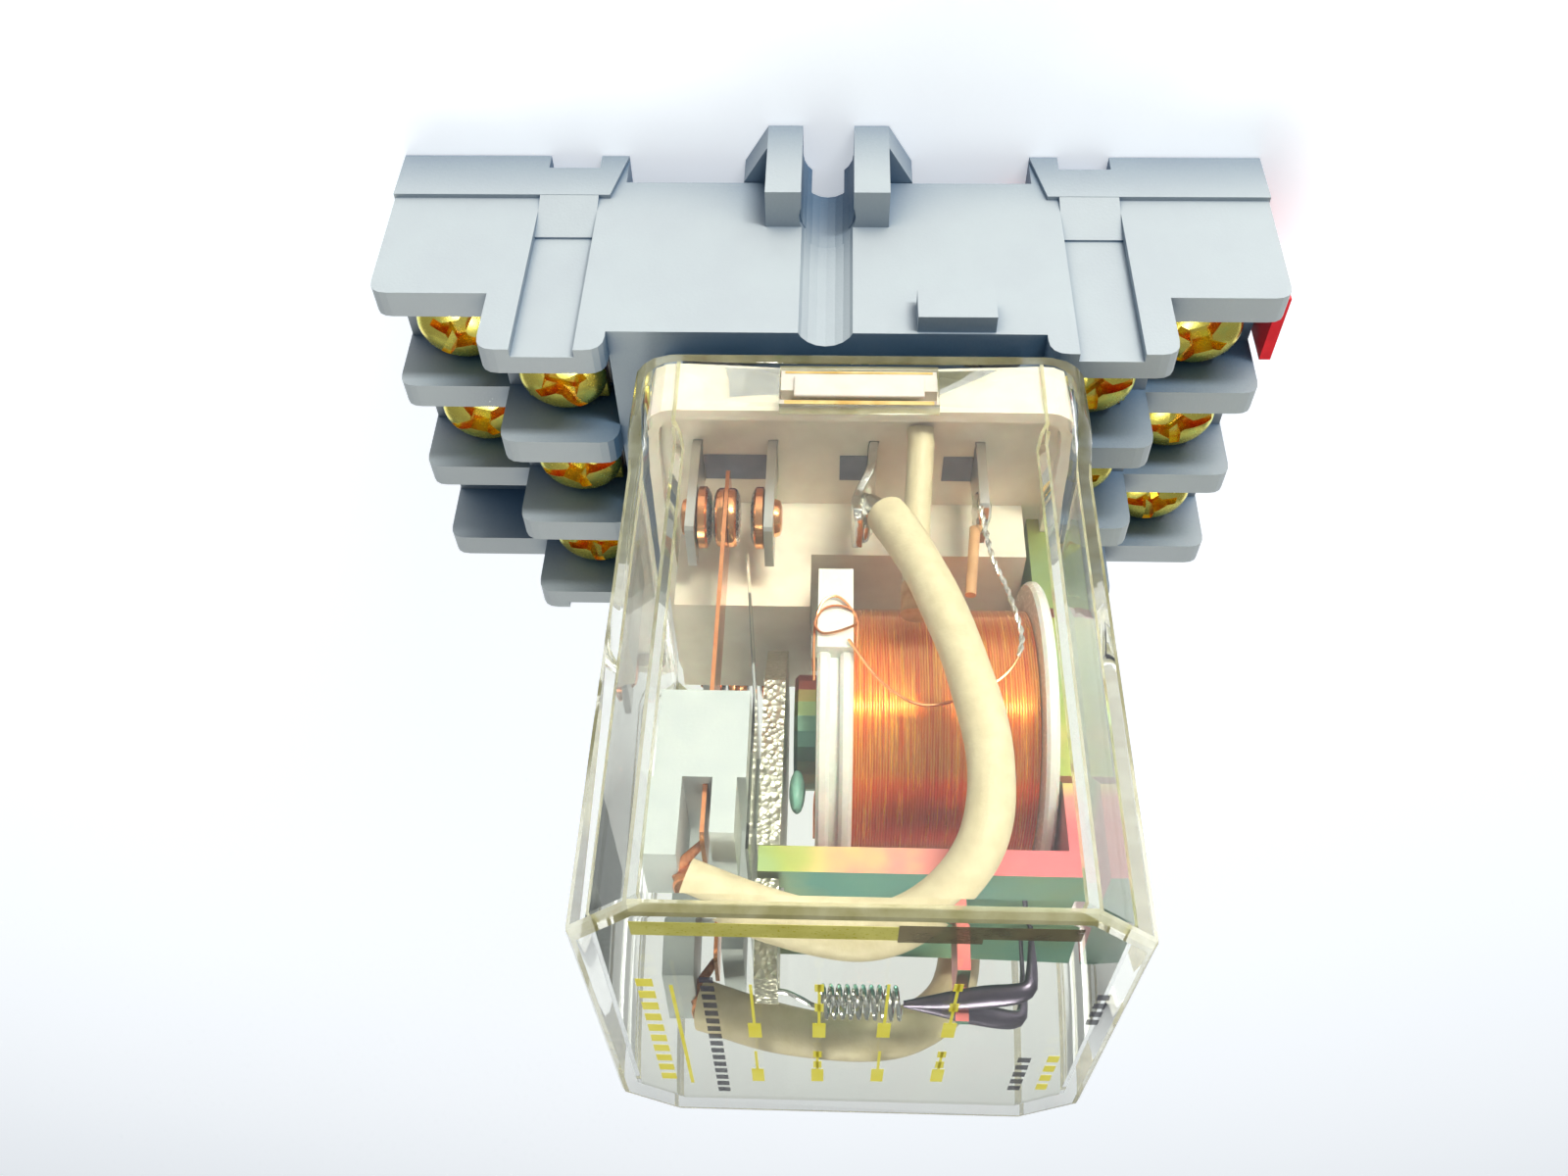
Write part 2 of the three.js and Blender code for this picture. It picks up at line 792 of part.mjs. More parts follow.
function actuator() {
  const front = leafX + 0.35;
  const carrier = prismY(
    [
      [front, actuatorBottom],
      [10.8, actuatorBottom],
      [10.8, actuatorWaist],
      [11.2, actuatorWaist],
      [11.2, 67],
      [8.9, 67],
      [8.9, actuatorWaist],
      [6.9, actuatorWaist],
      [6.9, 65.4],
      [5.3, 65.4],
      [5.3, actuatorWaist],
      [front, actuatorWaist],
    ],
    -actuatorHalf,
    actuatorHalf,
  );
  const boss = box(armatureFar, front + 0.5, -5.8, 5.8, 55.2, 60.8);
  let body = carrier.add(boss);
  // The middle of the upper part is open, so only the two ends guide the arms.
  body = body.subtract(box(0, 20, -6.4, 6.4, actuatorWaist, 70));
  for (const y of Object.values(poles)) {
    const half = armThickness / 2 + 0.05;
    const wide = armWidth / 2 + 0.05;
    body = body.subtract(box(armX - half, armX + half, y - wide, y + wide, 50, 70));
  }
  return body;
}

function insulatingLeaf() {
  const thickness = 0.2;
  const low = { x: 5.4, z: barrierTop + 0.9 };
  const points = [
    [leafX, 66.2],
    [leafX, actuatorBottom],
    [low.x, low.z],
    [low.x + thickness, low.z],
    [leafX + thickness, actuatorBottom],
    [leafX + thickness, 66.2],
  ];
  const sheet = prismY([...points].reverse(), -actuatorHalf + 0.6, actuatorHalf - 0.6);
  return sheet.subtract(box(0, 10, -6, 6, 55, 61));
}

function armature() {
  const neckHalf = armatureHalf - 2.3;
  const tailTop = 67.5;
  const right = [
    [4, 44.5],
    [armatureHalf, 49.5],
    [armatureHalf, yokeBottom - gap],
    [neckHalf, yokeBottom - gap],
    [neckHalf, yokeTop + gap],
    [armatureHalf, yokeTop + gap],
    [armatureHalf, tailTop],
    [2.2, tailTop],
    [2.2, tailTop + 2.6],
    [0.6, tailTop + 2.6],
  ];
  const plate = prismX([...right, ...mirroredX(right)], armatureX, armatureFar);
  return plate;
}

function yoke() {
  const prong = armatureHalf - 2.3 + gap; // the armature's neck passes between two prongs
  const legEnd = armatureX - gap;
  const longLeg = prismZ(
    [
      [yokeEnd, -yokeHalf],
      [4, -yokeHalf],
      [4, -prong],
      [legEnd, -prong],
      [legEnd, prong],
      [4, prong],
      [4, yokeHalf],
      [yokeEnd, yokeHalf],
    ],
    yokeBottom,
    yokeTop,
  );
  const shortLeg = prismX(
    [
      [-yokeFoot, baseTop],
      [yokeFoot, baseTop],
      [yokeFoot, 40],
      [5.5, 42],
      [5.5, 56],
      [yokeHalf, 58],
      [yokeHalf, yokeTop],
      [-yokeHalf, yokeTop],
      [-yokeHalf, 58],
      [-5.5, 56],
      [-5.5, 42],
      [-yokeFoot, 40],
    ],
    yokeEnd,
    yokeEnd + 1.6,
  );
  const lug = prismX(
    [
      [springY - 2.4, yokeTop - 0.5],
      [springY + 2.4, yokeTop - 0.5],
      [springY + 2.4, 68.9],
      [springY + 0.3, 69.2],
      [springY + 0.3, 71.3],
      [springY - 0.3, 71.3],
      [springY - 0.3, 69.2],
      [springY - 2.4, 68.9],
    ],
    lugX - 0.45,
    lugX + 0.45,
  );
  const bore = pinX(coreRadius + 0.05, -far, 0, 24).translate([0, 0, coilZ]);
  return joined([longLeg, shortLeg, lug]).subtract(bore);
}

const springY = 1.4;
const springZ = 70.2;
const springRadius = 1.1;
const springWire = 0.35;
const lugX = -10.2;

// Tension spring: close coils between a straight end and the link.
function returnSpring() {
  const x0 = -6.2;
  const x1 = -0.3;
  const inner = springRadius - springWire;
  const coil = turnedX(
    [[inner, x0], [springRadius, x0], [springRadius, x1], [inner, x1]],
    12,
  );
  const hook = box(x1 - 0.5, armatureX - gap, -0.18, 0.18, -0.9, -0.9 + springWire);
  return coil.add(hook).translate([0, springY, springZ]);
}

// Steel link: a narrow V whose two ends are pinned in the yoke's long leg.
function springLink() {
  const tip = -6.3 - fit;
  const end = -14.9;
  const spread = 3;
  const leg = (side) =>
    prismZ(
      side > 0
        ? [
            [end, spread],
            [end, spread - 1],
            [tip - 1.4, 0],
            [tip, 0],
            [tip, 0.5],
          ]
        : [
            [end, -spread],
            [tip, -0.5],
            [tip, 0],
            [tip - 1.4, 0],
            [end, -spread + 1],
          ],
      springZ - 0.3,
      springZ + 0.3,
    );
  const foot = (side) =>
    box(
      end,
      end + 0.7,
      side > 0 ? spread - 1 : -spread,
      side > 0 ? spread : -spread + 1,
      yokeTop,
      springZ,
    );
  return joined([leg(1), leg(-1), foot(1), foot(-1)]).translate([0, springY, 0]);
}

function core() {
  const shoulder = poleFace - poleThickness;
  return turnedX(
    [
      [0, yokeEnd - 0.3],
      [coreRadius, yokeEnd - 0.3],
      [coreRadius, shoulder],
      [poleRadius, shoulder],
      [poleRadius, poleFace - 0.3],
      [poleRadius - 0.3, poleFace],
      [0, poleFace],
    ],
    24,
  ).translate([0, 0, coilZ]);
}

const bobbinX0 = -16.9;
const bobbinX1 = 0.2;
const flangePairGap = 0.7; // the contact end has two flanges with a groove between them
const windingEnd = bobbinX1 - 2 * flangeThickness - flangePairGap;
const hubRadius = coreRadius + 1;

function bobbin() {
  const inner = coreRadius + 0.1;
  const t = flangeThickness;
  const secondFlange = windingEnd + t;
  const spool = turnedX(
    [
      [inner, bobbinX0],
      [flangeRadius, bobbinX0],
      [flangeRadius, bobbinX0 + t],
      [hubRadius, bobbinX0 + t],
      [hubRadius, windingEnd],
      [flangeRadius, windingEnd],
      [flangeRadius, secondFlange],
      [hubRadius + 1, secondFlange],
      [hubRadius + 1, bobbinX1 - t],
      [flangeRadius, bobbinX1 - t],
      [flangeRadius, bobbinX1],
      [inner, bobbinX1],
    ],
    24,
  ).translate([0, 0, coilZ]);
  const block = (side) => {
    const [y0, y1] = side < 0 ? [-12.6, -9] : [9, 12.6];
    return box(windingEnd, bobbinX1, y0, y1, 43, 50);
  };
  return joined([spool, block(-1), block(1)]);
}

function winding() {
  const x0 = bobbinX0 + flangeThickness + 0.02;
  const x1 = windingEnd - 0.02;
  const inner = hubRadius + 0.05;
  return turnedX(
    [[inner, x0], [windingRadius, x0], [windingRadius, x1], [inner, x1]],
    24,
  ).translate([0, 0, coilZ]);
}

// Thick lead from a common blade's tag, out past the coil and over the yoke to its arm.
// The points are for the -Y pole.
const leadRadius = 1.6;
const leadPath = [
  [-4.9, -12.9, 38],
  [-6.4, -13.9, 41.6],
  [-8.3, -14.4, 46.6],
  [-10.1, -14.6, 52.8],
  [-11.3, -14.4, 59.8],
  [-10.6, -13, 65.2],
  [-7.4, -10.7, 68.5],
  [-3, -9.4, 69.8],
  [2.6, -9.9, 69.1],
  [6.4, -10.8, 67.9],
];

const coilWireRadius = 0.2;
const coilWirePath = [
  [-12, -13.5, 37.6],
  [-12.6, -13.2, 42],
  [-13.8, -12.6, 45.4],
  [-14.4, -12.1, 49.2],
  [-12.5, -11.7, 52.1],
  [-7.8, -11.3, 53.9],
  [-4.6, -11.8, 52.6],
  [-2, -13, 49.6],
];

const sleeveRadius = 1.05;
const sleevePath = [
  [-7.5, -15.2, 32.2],
  [-7.4, -13.8, 33.9],
  [-7.2, -10.8, 36.2],
  [-6.9, -7.6, 38.4],
];

const mirroredY = (points) => points.map(([x, y, z]) => [x, -y, z]);

// ---------------------------------------------------------------- assembly

const socket = new THREE.Group();
socket.add(
  meshOf("socket_body", socketBody(), greyPlastic),
  meshOf("bottom_plate", bottomPlate(), greyPlastic),
  meshOf("rail_latch", railLatch(), redPlastic),
  meshOf("latch_spring", latchSpring(), springSteel),
);
terminals.forEach((terminal, i) => {
  const number = String(i + 1).padStart(2, "0");
  const screw = meshOf("terminal_screw_" + number, terminalScrew(), platedScrew);
  const { side, tier, y } = terminal;
  screw.position.set(side * tiers[tier].x, y, stripTop(tier) + fit);
  socket.add(screw);
  socket.add(meshOf("terminal_strip_" + number, terminalStrip(terminal), tinnedBrass));
});

const relay = new THREE.Group();
relay.add(
  meshOf("cover", cover(), clearPlastic),
  meshOf("relay_base", relayBase(), ivoryPlastic),
  meshOf("actuator", actuator(), paleGreyPlastic),
  meshOf("insulating_leaf", insulatingLeaf(), clearFilm),
  meshOf("armature", armature(), nickelSteel),
  meshOf("yoke", yoke(), chromatedSteel),
  meshOf("core", core(), chromatedSteel),
  meshOf("bobbin", bobbin(), whitePlastic),
  meshOf("winding", winding(), enamelledCopper),
  meshOf("return_spring", returnSpring(), springSteel),
  meshOf("spring_link", springLink(), darkSteel),
  meshOf("lead_sleeve", wire(sleevePath, sleeveRadius, 8, 6), creamSleeve),
);
for (const [pole, y] of Object.entries(poles)) {
  const ownSide = pole === "a" ? (points) => points : mirroredY;
  relay.add(
    meshOf("blade_nc_" + pole, straightBlade(ncBladeX, y, contactBladeTop, contactZ), tinnedBrass),
    meshOf("blade_no_" + pole, straightBlade(noBladeX, y, contactBladeTop, contactZ), tinnedBrass),
    meshOf("blade_com_" + pole, commonBlade(y), tinnedBrass),
    meshOf("blade_coil_" + pole, straightBlade(coilBladeX, y, coilTagTop), tinnedBrass),
    meshOf("fixed_contact_nc_" + pole, fixedContact(ncBladeX, ncFace, y), copper),
    meshOf("fixed_contact_no_" + pole, fixedContact(noBladeX, noFace, y), copper),
    meshOf("moving_contact_" + pole, movingContact(y), copper),
    meshOf("contact_arm_" + pole, contactArm(y), copper),
    meshOf("lead_" + pole, wire(ownSide(leadPath), leadRadius, 8, 20), creamSleeve),
    meshOf("coil_wire_" + pole, wire(ownSide(coilWirePath), coilWireRadius, 4, 20), copper),
  );
}

const part = new THREE.Group();
part.add(socket, relay);
export default part;
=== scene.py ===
"""Looks of the plug-in control relay, built round its CAD frame.

Lengths are in millimetres and scaled to metres where a mesh is made.
"""

import math
import random

import bmesh
import bpy
from mathutils import Matrix, Vector


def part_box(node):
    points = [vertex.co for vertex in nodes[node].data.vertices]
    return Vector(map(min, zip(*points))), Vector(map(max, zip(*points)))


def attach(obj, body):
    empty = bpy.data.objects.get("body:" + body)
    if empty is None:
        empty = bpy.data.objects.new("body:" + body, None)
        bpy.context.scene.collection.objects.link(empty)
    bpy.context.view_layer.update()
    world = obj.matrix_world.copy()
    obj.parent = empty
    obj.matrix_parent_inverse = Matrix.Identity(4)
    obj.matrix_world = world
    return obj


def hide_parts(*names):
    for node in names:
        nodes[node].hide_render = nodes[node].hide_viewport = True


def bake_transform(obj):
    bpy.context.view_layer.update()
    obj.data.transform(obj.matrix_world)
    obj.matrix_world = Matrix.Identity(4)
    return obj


MM = 0.001
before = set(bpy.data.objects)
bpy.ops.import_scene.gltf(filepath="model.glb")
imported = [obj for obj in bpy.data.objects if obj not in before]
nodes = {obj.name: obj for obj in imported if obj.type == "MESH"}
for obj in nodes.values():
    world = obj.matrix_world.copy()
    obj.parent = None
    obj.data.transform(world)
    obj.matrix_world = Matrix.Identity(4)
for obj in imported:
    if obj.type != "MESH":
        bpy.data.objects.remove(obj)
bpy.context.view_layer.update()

# ---------------------------------------------------------------- places shared with the CAD

POLES = {"a": -1, "b": 1}
POLE_Y = 10.8
RELAY_X = -2.7
COVER_HALF = (17.8, 19.5)
COVER_WALL = 1.3
COVER_BOTTOM = 27.2
COVER_TOP = 73.2
COLLAR_TOP = 33.9
COIL_Z = 49.4
CONTACT_Z = 36.7
FLANGE_RADIUS = 12.0
FLANGE_THICKNESS = 0.95
WINDING = (-15.93, -2.42)
WINDING_RADIUS = 9.75
ARM_X = 7.45
PRESS_TOP = 30.82
COM_BLADE_X = -3.9
COIL_BLADE_X = -12.4
SPRING_Y, SPRING_Z = 1.4, 70.2


# ---------------------------------------------------------------- materials


class Finish:
    """One procedural material: its node tree and the few steps that all of them share."""

    def __init__(self, name, rough=0.5, metal=0.0):
        self.material = bpy.data.materials.new(name)
        self.material.use_nodes = True
        self.tree = self.material.node_tree
        self.shader = self.tree.nodes["Principled BSDF"]
        self.shader.inputs["Roughness"].default_value = rough
        self.shader.inputs["Metallic"].default_value = metal
        self.place = self.node("ShaderNodeTexCoord").outputs["Object"]

    def node(self, kind, **values):
        """Adds one node, with its settings."""
        made = self.tree.nodes.new(kind)
        for key, value in values.items():
            setattr(made, key, value)
        return made

    def link(self, a, b):
        self.tree.links.new(a, b)

    def set(self, **values):
        """Sets the shader's own sockets; a space in a name is written as _."""
        for key, value in values.items():
            self.shader.inputs[key.replace("_", " ")].default_value = value
        return self

    def noise(self, scale, detail=4.0, rough=0.5, stretch=(1, 1, 1)):
        """Noise over the piece; scale is in features per millimetre."""
        mapping = self.node("ShaderNodeMapping")
        mapping.inputs["Scale"].default_value = stretch
        texture = self.node("ShaderNodeTexNoise")
        texture.inputs["Scale"].default_value = scale / MM
        texture.inputs["Detail"].default_value = detail
        texture.inputs["Roughness"].default_value = rough
        self.link(self.place, mapping.inputs["Vector"])
        self.link(mapping.outputs["Vector"], texture.inputs["Vector"])
        return texture.outputs["Fac"]

    def cells(self, scale, feature="F1"):
        """Distance to the nearest of many scattered points, for a crackled face."""
        texture = self.node("ShaderNodeTexVoronoi", feature=feature)
        texture.inputs["Scale"].default_value = scale / MM
        self.link(self.place, texture.inputs["Vector"])
        return texture.outputs["Distance"]

    def ramp(self, source, stops):
        """Colours along a source, from (place, colour) stops."""
        ramp = self.node("ShaderNodeValToRGB")
        elements = ramp.color_ramp.elements
        for at, colour in stops[2:]:
            elements.new(at)
        for element, (at, colour) in zip(elements, sorted(stops)):
            element.position = at
            element.color = (*colour, 1)
        self.link(source, ramp.inputs["Fac"])
        return ramp.outputs["Color"]

    def colour(self, source, stops):
        """Gives the surface a ramp of colours along a source."""
        self.link(self.ramp(source, stops), self.shader.inputs["Base Color"])
        return self

    def roughness(self, source, low, high):
        """Lets a source vary the gloss between two values."""
        span = self.node("ShaderNodeMapRange")
        span.inputs["To Min"].default_value = low
        span.inputs["To Max"].default_value = high
        self.link(source, span.inputs["Value"])
        self.link(span.outputs["Result"], self.shader.inputs["Roughness"])
        return self

    def bump(self, source, height, strength=1.0):
        """Surface relief; height is in millimetres."""
        bump = self.node("ShaderNodeBump")
        bump.inputs["Distance"].default_value = height * MM
        bump.inputs["Strength"].default_value = strength
        self.link(source, bump.inputs["Height"])
        self.link(bump.outputs["Normal"], self.shader.inputs["Normal"])
        return self

    def upward(self):
        """0 where the surface faces down, 1 where it faces up along the plug axis."""
        split = self.node("ShaderNodeSeparateXYZ")
        span = self.node("ShaderNodeMapRange")
        span.inputs["From Min"].default_value = -1
        self.link(self.node("ShaderNodeTexCoord").outputs["Normal"], split.inputs["Vector"])
        self.link(split.outputs["Z"], span.inputs["Value"])
        return span.outputs["Result"]

    def along(self, axis, low, high):
        """0 to 1 along the piece's own axis, between two places in millimetres."""
        split = self.node("ShaderNodeSeparateXYZ")
        span = self.node("ShaderNodeMapRange")
        span.inputs["From Min"].default_value = low * MM
        span.inputs["From Max"].default_value = high * MM
        self.link(self.place, split.inputs["Vector"])
        self.link(split.outputs[axis], span.inputs["Value"])
        return span.outputs["Result"]

    def greater(self, a, b):
        """The larger of two sources."""
        most = self.node("ShaderNodeMath", operation="MAXIMUM")
        self.link(a, most.inputs[0])
        self.link(b, most.inputs[1])
        return most.outputs[0]

    def gap_shade(self, reach, tint):
        """Paints shade in narrow gaps, a darker and bluer colour on top of what the lights give."""
        near = self.node("ShaderNodeAmbientOcclusion")
        near.samples = 12
        near.inputs["Distance"].default_value = reach * MM
        deep = self.node("ShaderNodeMapRange")
        deep.inputs["From Min"].default_value = 0.25
        deep.inputs["From Max"].default_value = 0.8
        blend = self.node("ShaderNodeMix", data_type="RGBA")
        blend.inputs["A"].default_value = (*tint, 1)
        base = self.shader.inputs["Base Color"]
        self.link(near.outputs["AO"], deep.inputs["Value"])
        self.link(deep.outputs["Result"], blend.inputs["Factor"])
        self.link(base.links[0].from_socket, blend.inputs["B"])
        self.link(blend.outputs["Result"], base)
        return self

    def mix(self, a, b, share):
        """A weighted sum of two sources; share is the second one's weight."""
        blend = self.node("ShaderNodeMath", operation="MULTIPLY_ADD")
        blend.inputs[1].default_value = share
        scaled = self.node("ShaderNodeMath", operation="MULTIPLY")
        scaled.inputs[1].default_value = 1 - share
        self.link(a, scaled.inputs[0])
        self.link(b, blend.inputs[0])
        self.link(scaled.outputs[0], blend.inputs[2])
        return blend.outputs[0]


def moulded(name, dark, light, rough=(0.4, 0.55), grain=0.012, scale=0.5):
    """A plastic: slow colour change, fine matte grain."""
    finish = Finish(name)
    finish.colour(finish.noise(scale, 6), [(0.35, dark), (0.65, light)])
    fine = finish.noise(4.0, 3)
    finish.roughness(fine, *rough)
    return finish.bump(fine, grain)


def plated(name, stops, rough=(0.18, 0.34), scale=0.35, share=0.5, grain=0.006):
    """A metal whose colour drifts with its slope and place, such as chromate on zinc."""
    finish = Finish(name, metal=1.0)
    drift = finish.mix(finish.upward(), finish.noise(scale, 5, 0.6), share)
    finish.colour(drift, stops)
    fine = finish.noise(3.0, 5)
    finish.roughness(fine, *rough)
    return finish.bump(fine, grain)


def clear(name, tint, rough=0.02, ior=1.47):
    """Clear plastic that lets the light in: its shadows are thin."""
    finish = Finish(name, rough)
    finish.set(Transmission_Weight=1.0, IOR=ior, Base_Color=(*tint, 1))
    haze = finish.noise(0.08, 2)
    finish.colour(haze, [(0.3, tuple(c * 0.992 for c in tint)), (0.7, tint)])
    light = finish.node("ShaderNodeLightPath")
    open_way = finish.node("ShaderNodeBsdfTransparent")
    open_way.inputs["Color"].default_value = (*(c * 0.98 for c in tint), 1)
    either = finish.node("ShaderNodeMixShader")
    finish.link(light.outputs["Is Shadow Ray"], either.inputs[0])
    finish.link(finish.shader.outputs[0], either.inputs[1])
    finish.link(open_way.outputs[0], either.inputs[2])
    output = finish.tree.nodes["Material Output"]
    finish.link(either.outputs[0], output.inputs["Surface"])
    return finish


GREY = moulded("socket_grey", (0.435, 0.475, 0.485), (0.45, 0.495, 0.50), (0.42, 0.58), 0.02, 0.2)
GREY.gap_shade(13, (0.05, 0.115, 0.20))
RED = moulded("latch_red", (0.72, 0.01, 0.02), (0.85, 0.02, 0.03), (0.3, 0.42))
IVORY = moulded("base_ivory", (0.70, 0.63, 0.52), (0.76, 0.70, 0.59), (0.32, 0.48))
IVORY.set(Subsurface_Weight=0.15, Subsurface_Scale=0.8 * MM)
LAVENDER = moulded("carrier_grey", (0.42, 0.46, 0.47), (0.46, 0.50, 0.50), (0.35, 0.5))
WHITE = moulded("bobbin_white", (0.66, 0.66, 0.62), (0.74, 0.73, 0.68), (0.2, 0.32), 0.006)
WHITE.set(Subsurface_Weight=0.2, Subsurface_Scale=0.8 * MM)
SLEEVE = moulded("sleeve_cream", (0.54, 0.46, 0.29), (0.61, 0.53, 0.35), (0.45, 0.6), 0.03, 0.9)
TAN = moulded("sleeve_tan", (0.55, 0.28, 0.12), (0.66, 0.38, 0.18), (0.35, 0.5))
INK_YELLOW = moulded("print_yellow", (0.86, 0.76, 0.04), (0.92, 0.84, 0.10), (0.5, 0.6))
INK_YELLOW.set(Alpha=0.75)
INK_DARK = moulded("print_dark", (0.03, 0.03, 0.05), (0.07, 0.07, 0.09), (0.5, 0.6))
INK_DARK.set(Alpha=0.6)
BROWN_INK = moulded("print_brown", (0.07, 0.05, 0.02), (0.13, 0.10, 0.04), (0.5, 0.6))
BROWN_INK.set(Alpha=0.7)
OLIVE_INK = moulded("print_olive", (0.50, 0.46, 0.06), (0.62, 0.58, 0.12), (0.2, 0.4))
OLIVE_INK.set(Alpha=0.8)
GLUE = moulded("glue_drop", (0.13, 0.33, 0.26), (0.24, 0.46, 0.38), (0.12, 0.2), 0.004)
FLUX = moulded("flux_brown", (0.20, 0.06, 0.02), (0.46, 0.19, 0.08), (0.15, 0.3), 0.02, 1.5)
SCORCHED = moulded("sleeve_scorched", (0.42, 0.22, 0.08), (0.58, 0.36, 0.18), (0.4, 0.55), 0.03, 0.9)
AMBER = moulded("window_amber", (0.60, 0.36, 0.08), (0.78, 0.58, 0.22), (0.2, 0.3))
# Dark blue-grey for thin sheets laid over the base's press rooms: painted shade.
PAINTED_RECESS_SHADE = moulded("recess_shade", (0.10, 0.11, 0.15), (0.16, 0.17, 0.22), (0.4, 0.5))

GOLD = plated(
    "screw_plated",
    [
        (0.34, (0.66, 0.07, 0.05)),
        (0.50, (0.90, 0.26, 0.10)),
        (0.57, (1.0, 0.74, 0.10)),
        (0.66, (0.80, 0.86, 0.20)),
        (0.74, (1.0, 0.84, 0.16)),
    ],
    (0.2, 0.32),
    0.5,
    0.45,
)
CHROMATE = Finish("steel_chromated", metal=1.0)
pink_end = CHROMATE.greater(CHROMATE.along("X", -12, 3), CHROMATE.along("Z", 61, 57))
CHROMATE.colour(
    CHROMATE.mix(CHROMATE.upward(), CHROMATE.mix(pink_end, CHROMATE.noise(0.18, 3, 0.5), 0.5), 0.4),
    [
        (0.38, (0.66, 0.15, 0.16)),
        (0.48, (0.72, 0.26, 0.22)),
        (0.53, (0.66, 0.50, 0.20)),
        (0.58, (0.40, 0.46, 0.12)),
        (0.72, (0.26, 0.50, 0.38)),
        (0.84, (0.20, 0.48, 0.42)),
        (0.92, (0.52, 0.60, 0.34)),
    ],
)
CHROMATE.roughness(CHROMATE.noise(3.0, 5), 0.3, 0.5)
NICKEL = plated("steel_nickel", [(0.3, (0.48, 0.46, 0.38)), (0.7, (0.76, 0.74, 0.62))], (0.25, 0.5))
NICKEL.bump(NICKEL.cells(2.4), 0.16)
TINNED = plated("strip_tinned", [(0.3, (0.55, 0.53, 0.49)), (0.7, (0.72, 0.70, 0.66))], (0.25, 0.42))
SOLDER = plated("solder", [(0.3, (0.52, 0.51, 0.48)), (0.7, (0.85, 0.84, 0.80))], (0.08, 0.3), 1.2)
SOLDER.bump(SOLDER.noise(0.9, 4), 0.12)
BRIGHT = plated("spring_steel", [(0.3, (0.62, 0.62, 0.60)), (0.7, (0.80, 0.80, 0.78))], (0.12, 0.22))
DARK = plated("link_steel", [(0.3, (0.10, 0.09, 0.12)), (0.7, (0.22, 0.19, 0.26))], (0.22, 0.4))
COPPER = plated("copper", [(0.3, (0.80, 0.24, 0.10)), (0.7, (0.96, 0.46, 0.20))], (0.12, 0.26), 0.8)
SILVER = plated("contact_face", [(0.3, (0.42, 0.40, 0.40)), (0.7, (0.66, 0.64, 0.62))], (0.2, 0.35))
ENAMEL = Finish("winding_copper", metal=0.85)
threads = ENAMEL.noise(4.5, 3, 0.6, (1.0, 0.03, 0.03))
ENAMEL.colour(threads, [(0.35, (0.90, 0.16, 0.01)), (0.65, (1.0, 0.50, 0.08))])
ENAMEL.roughness(threads, 0.16, 0.34)
ENAMEL.bump(threads, 0.01)
ENAMEL.set(Coat_Weight=1.0, Coat_Roughness=0.06, Coat_IOR=1.8)
STRAND = plated("strand_silver", [(0.3, (0.60, 0.57, 0.52)), (0.7, (0.84, 0.81, 0.75))], (0.2, 0.3))

CLEAR = clear("cover_clear", (0.955, 0.96, 0.90), 0.015, 1.13)
CLEAR.set(Coat_Weight=0.6, Coat_Roughness=0.02)
EDGE = moulded("cover_edge", (0.42, 0.39, 0.17), (0.60, 0.57, 0.33), (0.08, 0.2), 0.002)
EDGE.set(Alpha=0.6)
FILM = clear("leaf_clear", (0.93, 0.94, 0.88), 0.12, 1.1)


# ---------------------------------------------------------------- mesh helpers


def piece(name, verts, faces, finishes, body, slot=None, shown_for=(), smooth=40, face_slots=None):
    """A mesh object from millimetre vertices that rides on a body and may stand for CAD nodes."""
    data = bpy.data.meshes.new(name)
    data.from_pydata([tuple(c * MM for c in v) for v in verts], [], faces)
    for finish in finishes if isinstance(finishes, (list, tuple)) else [finishes]:
        data.materials.append(finish.material)
    if face_slots:
        data.polygons.foreach_set("material_index", face_slots)
    obj = bpy.data.objects.new(name, data)
    bpy.context.scene.collection.objects.link(obj)
    tidy_faces(data)
    shade(data, smooth)
    settle(obj, body, shown_for)
    return obj


def settle(obj, body, shown_for=()):
    """Tells the frame which body a piece rides on and the nodes it stands for."""
    if body:
        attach(obj, body)
    if shown_for:
        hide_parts(*shown_for)


def tidy_faces(data):
    """Merges doubled points and turns every face outwards."""
    work = bmesh.new()
    work.from_mesh(data)
    bmesh.ops.remove_doubles(work, verts=work.verts, dist=1e-7)
    bmesh.ops.recalc_face_normals(work, faces=work.faces)
    work.to_mesh(data)
    work.free()


def shade(data, degrees):
    """Smooth shading, with edges sharper than the angle kept crisp."""
    data.shade_smooth()
    data.set_sharp_from_angle(angle=math.radians(degrees))


def turned(profile, segments, centre=(0, 0, 0), axis="X"):
    """Vertices and faces of a closed or open profile of (radius, height) turned about an axis."""
    verts, faces, tags = [], [], []
    count = len(profile)
    for i in range(segments):
        angle = 2 * math.pi * i / segments
        for r, h in profile:
            u, v = r * math.cos(angle), r * math.sin(angle)
            local = (h, u, v) if axis == "X" else (u, v, h)
            verts.append(tuple(a + b for a, b in zip(local, centre)))
    for i in range(segments):
        j = (i + 1) % segments
        for k in range(count - 1):
            a, b = i * count + k, j * count + k
            if profile[k][0] < 1e-6 and profile[k + 1][0] < 1e-6:
                continue
            faces.append((a, b, b + 1, a + 1))
            tags.append(k)
    return verts, faces, tags


